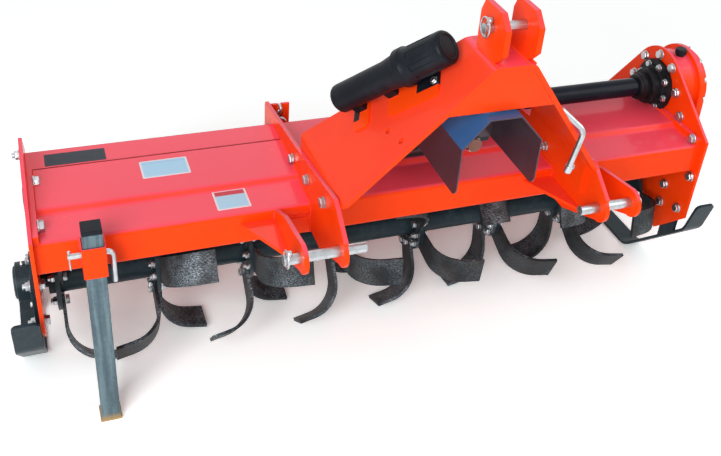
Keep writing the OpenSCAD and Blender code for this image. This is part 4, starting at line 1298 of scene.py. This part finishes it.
@dataclass
class SplineShaft:
    """Six-spline input shaft with a locking groove and a waxed end."""

    rear_y: float = 3
    height: float = 655
    profile: tuple = ((20, 0), (20, 57.5), (18, 58.5), (14.8, 60), (14.8, 132), (13, 134))
    splines: int = 6
    spline_w: float = 8.6
    spline_ease: float = 0.0009
    spline_in: float = 13.0
    spline_out: float = 17.45
    runs: tuple = ((63, 108), (116, 132))
    wax: tuple = ((15.6, 0), (15.6, 1.2), (12, 2.2))

    def build(self) -> None:
        """Model the shaft in place of its node, and its waxed end."""
        shaft = Bench.ease(Bench.turned(self.profile, sides=48))
        splines = []
        for low, high in self.runs:
            size = (self.spline_out - self.spline_in, self.spline_w, high - low)
            tooth = Bench.ease(Bench.block([v * MM for v in size]), self.spline_ease)
            reach = Matrix.Translation(Vector(((self.spline_in + self.spline_out) / 2, 0, low)) * MM)
            turns = [Matrix.Rotation(math.radians(360 / self.splines * k), 4, "Z")
                     for k in range(self.splines)]
            splines.append(Bench.repeat(tooth, [turn @ reach for turn in turns]))
        place = Seat(MIDDLE_X, self.rear_y, self.height, Side.FRONT).matrix()
        shaft = Bench.settle(Bench.join([shaft, *splines]), place)
        Bench.hand_in(shaft, "input_shaft_piece", ZINC, "input", replaces=["input_shaft"])
        end = Seat(MIDDLE_X, self.rear_y - self.profile[-1][1], self.height, Side.FRONT)
        turn_on("shaft_end_wax", self.wax, end, WAX_CAP, sides=32, body="input")


@dataclass
class PinClips:
    """Linch pins on the hitch pins, ring clip on the top pin and the leg pin's cross handle."""

    hitch_y: float = -194
    hitch_z: float = 488
    left_x: float = 466
    right_x: float = 1272
    top_y: float = -198
    top_z: float = 958
    stem: tuple = ((2.6, -23), (3.6, -20), (3.6, 13), (6, 14), (6, 21), (4, 23))
    ring_r: float = 17
    ring_long: float = 4
    ring_off: float = -5
    wire: float = 1.9
    leans: tuple = (12, -10, 20)
    top_in: float = 8
    top_bolt: HexBolt = HexBolt(10)
    cross: tuple = ((1.4, -34), (2.2, -32), (2.2, 9), (3.4, 9.5), (3.4, 13), (2, 14))
    leg_pin: tuple = (64, -39.5, 456.5)

    def linch(self, x: float, y: float, z: float, lean: float) -> Piece:
        """Model one linch pin through a pin that lies along x.

        Args:
            x: Place along the pin.
            y: The pin's axis behind the beam.
            z: The pin's height.
            lean: Turn of the linch pin about the pin, in degrees.

        Returns:
            The linch pin.
        """
        stem = Bench.ease(Bench.turned(self.stem, sides=20))
        ring = Bench.ease(Bench.ring(self.ring_r * MM, self.wire * MM))
        Bench.stretch(ring, self.ring_long * MM, (1,))
        upright = Matrix.Rotation(math.pi / 2, 4, "Y") @ Matrix.Rotation(math.pi / 2, 4, "Z")
        ring = Bench.settle(ring, Matrix.Translation((self.ring_off * MM, 0, 0)) @ upright)
        turned = Matrix.Translation(at(x, y, z)) @ Matrix.Rotation(math.radians(lean), 4, "X")
        return Bench.settle(Bench.join([stem, ring]), turned)

    def build(self) -> None:
        """Model the clips."""
        top_low, top_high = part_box("top_link_pin")
        top_x = (top_low.x - DECK_LOW.x) / MM + self.top_in
        pins = ((self.left_x, self.hitch_y, self.hitch_z), (self.right_x, self.hitch_y, self.hitch_z),
                (top_x, self.top_y, self.top_z))
        clips = [self.linch(*pin, lean) for pin, lean in zip(pins, self.leans)]
        cross = Bench.ease(Bench.turned(self.cross, sides=20))
        clips.append(Bench.settle(cross, Seat(*self.leg_pin, Side.TOP).matrix()))
        Bench.hand_in(Bench.join(clips), "pin_clips", ZINC)
        head_x = (top_high.x - DECK_LOW.x) / MM
        bolt_on("top_pin_bolt", self.top_bolt, [Seat(head_x, self.top_y, self.top_z, Side.RIGHT)])


@dataclass
class TubeCap:
    """Screw cap of the document tube, with sunk grips, and its brackets' bolts."""

    panel_foot: tuple = (580.5, 0, 570)
    slope: float = 52.0
    turn: float = 35.0
    along: float = 382.6
    across: float = -146.0
    up: float = 46.5
    tube_len: float = 299.0
    cap_len: float = 118.0
    profile: tuple = ((39.5, 0), (40.5, 1), (40.5, 17), (39.5, 18), (36.5, 26), (36.3, 36), (35.4, 96),
                      (35, 109), (34.3, 112.5), (32.4, 115.6), (29.5, 117.5), (26, 118), (24.5, 117.4),
                      (23.5, 115.5))
    grip_from: float = 36.0
    grip_to: float = 96.0
    grip_faces: int = 3
    rib_faces: int = 3
    grips: int = 8
    grip_deep: float = 2.4
    grip_edge: float = 1.2
    tab_t: float = 5.0
    cap_ease: float = 0.0004
    tab_bolt: HexBolt = HexBolt(8)
    tab_bolt_at: tuple = (-26, 228)

    def frame(self) -> Matrix:
        """Place whose z axis runs along the tube from its foot, and x axis towards the panel."""
        slope, turn = math.radians(self.slope), math.radians(self.turn)
        up_panel = Vector((math.cos(slope), 0, math.sin(slope)))
        out = Vector((-math.sin(slope), 0, math.cos(slope)))
        back = Vector((0, 1, 0))
        axis = up_panel * math.cos(turn) - back * math.sin(turn)
        end = at(*self.panel_foot) + (up_panel * self.along + back * self.across + out * self.up) * MM
        side = axis.cross(-out)
        turned = Matrix((-out, side, axis)).transposed().to_4x4()
        return Matrix.Translation(end - axis * self.tube_len * MM) @ turned

    def build(self) -> None:
        """Model the cap in place of its node, and the brackets' bolts."""
        cap = Bench.turned(self.profile, self.grips * (self.grip_faces + self.rib_faces))
        span = 2 * math.pi / self.grips
        wide = span * self.grip_faces / (self.grip_faces + self.rib_faces)

        def grip(face: bmesh.types.BMFace) -> bool:
            """Whether a face lies in one of the grips."""
            middle = face.calc_center_median()
            angle = math.atan2(middle.y, middle.x) % span
            return self.grip_from * MM < middle.z < self.grip_to * MM and angle < wide

        with Bench.editing(cap) as mesh:
            Bench.pick(mesh, grip)
            bpy.ops.mesh.inset(thickness=self.grip_edge * MM, depth=-self.grip_deep * MM)
        cap = Bench.settle(Bench.ease(cap, self.cap_ease), self.frame() @ Matrix.Translation(
            (0, 0, (self.tube_len - self.cap_len) * MM)))
        Bench.hand_in(cap, "tube_cap_piece", FINISHES["black_plastic"], replaces=["tube_cap"])
        tabs = TabPaint(name="bracket_tabs", into_tube=self.frame().inverted())
        Plates().eased("tube_brackets", tabs)
        y, z = self.tab_bolt_at
        place = self.frame() @ Matrix.Translation(Vector((self.up - self.tab_t, y, z)) * MM)
        bolt = Bench.settle(self.tab_bolt.pattern(), place @ Matrix.Rotation(-math.pi / 2, 4, "Y"))
        Bench.hand_in(bolt, "tube_bracket_bolt", ZINC)


@dataclass
class BentRods:
    """The hook rod beside the headstock and the parking leg's pin, each bent from round bar."""

    rod_r: float = 6.0
    hook_knob_r: float = 8.4
    hook_knee_r: float = 6.6
    hook_reach: tuple = (-52, 18, 46)
    hook_run: tuple = (19, 91)
    hook_bend: float = 26.0
    knob_ease: float = 0.001
    hook_end: tuple = ((6, -9), (8.4, -8), (8.4, 5), (6.5, 8))
    pin_out: float = 26.0
    pin_bend: float = 11.0
    pin_ease: float = 0.0012
    pin_end: tuple = ((5, 0), (6, 1.2), (6, 26))

    def build(self) -> None:
        """Model both rods in place of their nodes."""
        self.hook()
        self.pin()

    def hook(self) -> None:
        """Model the hook rod with its knob."""
        low, high = (Vector(v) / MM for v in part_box("hook_rod"))
        run_x, run_z = self.hook_run
        end = Vector((high.x - self.hook_knee_r - run_x, low.y + self.hook_knob_r, low.z + self.hook_knob_r))
        knee = end + Vector((run_x, 0, run_z))
        top = knee + Vector(self.hook_reach)
        rod = Bench.bent([p * MM for p in (top, knee, end)], self.rod_r * MM, self.hook_bend * MM)
        rod = Bench.ease(rod, FINE_EASE)
        knob = Bench.settle(Bench.turned(self.hook_end, sides=24), stand(end * MM, end - knee))
        rod = Bench.join([rod, Bench.ease(knob, self.knob_ease)])
        Bench.hand_in(rod, "hook_rod_piece", ZINC, replaces=["hook_rod"])

    def pin(self) -> None:
        """Model the leg's pin with its bent handle."""
        low, high = (Vector(v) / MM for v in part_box("leg_pin"))
        y, z = (low.y + high.y) / 2, high.z - self.rod_r
        corner = Vector((high.x - self.rod_r, y, z))
        start, end = corner - Vector((self.pin_out / 2, 0, 0)), Vector((corner.x, y, low.z))
        handle = Bench.bent([p * MM for p in (start, corner, end)], self.rod_r * MM, self.pin_bend * MM)
        handle = Bench.ease(handle, self.pin_ease)
        stub = Bench.ease(Bench.turned(self.pin_end, sides=20))
        stub = Bench.settle(stub, stand(Vector((low.x, y, z)) * MM, Side.RIGHT.axis))
        pin = Bench.join([handle, stub])
        Bench.hand_in(pin, "leg_pin_piece", ZINC, replaces=["leg_pin"])


@dataclass
class SpareLinks:
    """Slack link of chain that hangs in front of each chain bracket."""

    chain_x: tuple = (606.5, 1145.5)
    y: float = 386.5
    z: float = 434.0
    wire: float = 3.5
    bow: float = 12.5
    straight: float = 19.0
    middle: float = 0.1
    turn: float = -24.0

    def build(self) -> None:
        """Model the links."""
        link = Bench.ease(Bench.ring(self.bow * MM, self.wire * MM, sides=24))
        Bench.stretch(link, self.straight / 2 * MM, (-1, 1), self.middle * MM)
        turned = Matrix.Rotation(math.radians(self.turn), 4, "Z") @ Matrix.Rotation(math.pi / 2, 4, "X")
        places = [Matrix.Translation(at(x, self.y, self.z)) @ turned for x in self.chain_x]
        Bench.hand_in(Bench.repeat(link, places), "spare_links", ZINC)


@dataclass
class Welds:
    """Painted weld beads along the frame's joints, each a row of ripples."""

    ripple_mm: tuple = (5.5, 5.5, 3.0)
    pitch: float = 3.6
    lug_x: tuple = (488.5, 498.5)
    plate_x: tuple = (570.5, 580.5)
    beam_run: tuple = ((0, 394), (0, 462))
    front_run: tuple = ((4, 467), (93, 467))
    flat_run: tuple = ((108, 478), (254, 478))
    gusset_x: tuple = (501, 568)
    gusset_z: tuple = (436, 444)
    bracket_run: tuple = ((401, 426), (401, 484))
    mast_x: tuple = (836, 848)
    mast_run: tuple = ((-238, 896), (-150, 896))
    sleeve_x: tuple = (86.5, 133.5)
    sleeve_run: tuple = ((-16, 413), (-16, 482))
    end_x: tuple = (12, 1588)
    right_flat_run: tuple = ((108, 478), (206, 478))

    @staticmethod
    def across(rows: Sequence[tuple]) -> list[tuple[tuple, tuple]]:
        """Start and end of beads that keep one x, from each one's x and its run in y and z."""
        return [((x, *start), (x, *end)) for x, (start, end) in rows]

    def lines(self) -> list[tuple[tuple, tuple]]:
        """Start and end of each bead."""
        lines = self.across([
            *((x, self.beam_run) for x in self.lug_x + self.plate_x),
            *((x, run) for x in self.plate_x for run in (self.front_run, self.flat_run)),
            (self.plate_x[1], self.bracket_run), *((x, self.mast_run) for x in self.mast_x)])
        lines += [tuple((x, 0, z) for x in self.gusset_x) for z in self.gusset_z]
        lines += [tuple((2 * MIDDLE_X - x, y, z) for x, y, z in line) for line in lines]
        left, right = self.end_x
        return lines + self.across([
            *((x, self.sleeve_run) for x in self.sleeve_x), (left, self.front_run), (left, self.flat_run),
            (right, self.front_run), (right, self.right_flat_run)])

    def build(self) -> None:
        """Model one ripple, and lay it along every line."""
        Bench.clear()
        bpy.ops.mesh.primitive_uv_sphere_add(segments=8, ring_count=6, radius=0.5,
                                             scale=[v * MM for v in self.ripple_mm])
        ripple = Bench.settle(bpy.context.object)
        beads = []
        for start, end in self.lines():
            way = at(*end) - at(*start)
            bead = Bench.copy(ripple)
            row = bead.modifiers.new("row", "ARRAY")
            row.count = max(2, round(way.length / (self.pitch * MM)))
            row.use_relative_offset = False
            row.use_constant_offset = True
            row.constant_offset_displace = (0, 0, self.pitch * MM)
            bpy.ops.object.modifier_apply(modifier=row.name)
            beads.append(Bench.settle(bead, stand(at(*start), way)))
        bpy.data.objects.remove(ripple)
        Bench.hand_in(Bench.ease(Bench.join(beads)), "weld_beads", FINISHES["paint"])


@dataclass
class Stickers:
    """Blank stickers on the deck."""

    thick: float = 0.4
    corner: float = 3.0
    border: float = 4.0
    places: tuple = (
        ("dark", (40, 171), (266, 314), 475,
         ((0.004, 0.012, 0.026), (0.006, 0.015, 0.030), (0.010, 0.022, 0.042)), 0.8),
        ("blue", (237, 342), (165, 232), 478,
         ((0.42, 0.68, 0.88), (0.38, 0.62, 0.84), (0.78, 0.80, 0.88)), 0.8),
        ("white", (372, 445), (25, 95), 467,
         ((0.44, 0.70, 0.88), (0.62, 0.045, 0.075), (0.84, 0.78, 0.84)), 0.72))

    def build(self) -> None:
        """Model each sticker."""
        for name, (x0, x1), (y0, y1), z, colours, share in self.places:
            piece = Bench.block(((x1 - x0) * MM, (y1 - y0) * MM, self.thick * MM))
            with Bench.editing(piece) as mesh:
                bpy.ops.mesh.select_mode(type="EDGE")
                for edge in mesh.edges:
                    edge.select_set(abs((edge.verts[0].co - edge.verts[1].co).z) > self.thick * MM / 2)
                bpy.ops.mesh.bevel(offset=self.corner * MM, segments=4)
            middle = at((x0 + x1) / 2, (y0 + y1) / 2, z)
            piece = Bench.ease(Bench.settle(piece, Matrix.Translation(middle)))
            low, high = at(x0 + self.border, y0 + self.border, z), at(x1 - self.border, y1 - self.border, z)
            strip_from = at(x0, y0 + (y1 - y0) * share, z).y
            name = f"sticker_{name}"
            finish = BlankPrint("guard_sheet", name, *colours, strip_from, tuple(low.xy), tuple(high.xy))
            Bench.hand_in(piece, name, finish)


@dataclass
class DeckSeam:
    """Thin dark strip along the joint between the deck and its rear cover, a painted shadow of the gap
    between the sheets.
    """

    runs: tuple = ((12, 570.5), (1181.5, 1588))
    wide: float = 3.0
    high: float = 0.5
    ease: float = 0.15
    top: float = 478.0

    def build(self) -> None:
        """Model the line on both sides of the headstock."""
        y = (DECK_HIGH.y - DECK_LOW.y) / MM - self.wide / 2
        beads = []
        for x0, x1 in self.runs:
            size = (x1 - x0, self.wide, self.high)
            bead = Bench.ease(Bench.block([v * MM for v in size]), self.ease * MM, segments=1)
            beads.append(Bench.settle(bead, Matrix.Translation(at((x0 + x1) / 2, y, self.top))))
        # The strip is painted shadow in the seam.
        Bench.hand_in(Bench.join(beads), "deck_seam", SEAM_SHADOW)


@dataclass
class Studio:
    """Floor, light and camera."""

    focal_px: float = 937.34
    centre_px: tuple = (385.0, 145.0)
    photo_px: tuple = (721.0, 456.0)
    yaw: float = 23.35
    pitch: float = 32.06
    roll: float = 5.42
    eye_mm: tuple = (51.81, -1573.03, 1669.11)
    ambient: float = 0.4
    floor_tone: Colour = (0.92, 0.92, 0.92)
    seen_tone: Colour = (1.41, 1.46, 1.46)
    white_share: float = 0.1
    fade_m: tuple = (1.3, 3.2)
    floor_m: float = 40.0
    sensor: float = 36.0
    aim_m: tuple = (0, 0, 0.45)
    lamps: tuple = (("key", (-2.4, -3.0, 2.2), 150.0, 2.4), ("fill", (2.8, -1.6, 2.2), 40.0, 2.4),
                    ("back", (0.3, 3.4, 2.8), 16.0, 2.6))

    def build(self) -> None:
        """Make the floor, the lights and the camera."""
        bpy.context.scene.view_settings.view_transform = "Standard"
        self.floor()
        self.world()
        for lamp in self.lamps:
            self.lamp(*lamp)
        self.camera()

    def floor(self) -> None:
        """Pale floor that keeps the shadow."""
        Bench.clear()
        bpy.ops.mesh.primitive_plane_add(size=self.floor_m)
        floor = bpy.context.object
        floor.name = "floor"
        shader = Shader(bpy.data.materials.new("pale_floor"))
        matt, pale = (shader.node("ShaderNodeBsdfDiffuse", None, {"Color": (*tone, 1)})
                      for tone in (self.floor_tone, self.seen_tone))
        white = shader.node("ShaderNodeEmission", None, {"Color": WHITE, "Strength": 1.0})
        far = shader.place("X").reach(shader.place("Y")).ramp(*self.fade_m)
        pale = shader.blend(self.white_share + (1 - self.white_share) * far, pale, white)
        shader.node_output(shader.blend(shader.seen(), matt, pale))
        floor.data.materials.append(shader.owner)

    def world(self) -> None:
        """White world that lights the machine softly."""
        world = bpy.data.worlds.new("studio")
        bpy.context.scene.world = world
        shader = Shader(world)
        strength = shader.node("ShaderNodeMapRange", None,
                               {"Value": shader.seen(), "To Min": self.ambient, "To Max": 1.0})
        back = shader.node("ShaderNodeBackground", None, {"Color": WHITE, "Strength": strength})
        shader.node_output(back, "ShaderNodeOutputWorld")

    def lamp(self, name: str, place: Sequence[float], power: float, size: float) -> None:
        """Square soft lamp that looks at the machine's middle."""
        Bench.clear()
        bpy.ops.object.light_add(type="AREA", location=place)
        lamp = bpy.context.object
        lamp.name = name
        lamp.data.energy = power
        lamp.data.size = size
        aim = Vector(self.aim_m) - Vector(place)
        lamp.rotation_euler = aim.to_track_quat("-Z", "Y").to_euler()

    def camera(self) -> None:
        """Camera at the photograph's angle."""
        yaw, pitch, roll = (math.radians(a) for a in (self.yaw, self.pitch, self.roll))
        ahead = Vector((math.sin(yaw) * math.cos(pitch), math.cos(yaw) * math.cos(pitch), -math.sin(pitch)))
        level = Vector((math.cos(yaw), -math.sin(yaw), 0))
        over = level.cross(ahead)
        right = level * math.cos(roll) + over * math.sin(roll)
        top = over * math.cos(roll) - level * math.sin(roll)
        Bench.clear()
        bpy.ops.object.camera_add()
        camera = bpy.context.object
        camera.matrix_world = Matrix.Translation(at(*self.eye_mm)) @ Matrix(
            (right, top, -ahead)).transposed().to_4x4()
        camera.data.sensor_width = self.sensor
        camera.data.lens = self.focal_px / self.photo_px[0] * self.sensor
        camera.data.shift_x = (self.photo_px[0] / 2 - self.centre_px[0]) / self.photo_px[0]
        camera.data.shift_y = (self.centre_px[1] - self.photo_px[1] / 2) / self.photo_px[0]
        bpy.context.scene.camera = camera


def main() -> None:
    """Build the machine's looks in order."""
    logging.basicConfig(level=logging.INFO, format="%(message)s")
    Studio().build()
    for sub_assembly in (Plates, FrameBolts, RotorBolts, SideDrive, GearboxFittings, SplineShaft, PinClips,
                         TubeCap, BentRods, SpareLinks, Welds, Stickers, DeckSeam):
        sub_assembly().build()


if __name__ == "__main__":
    main()
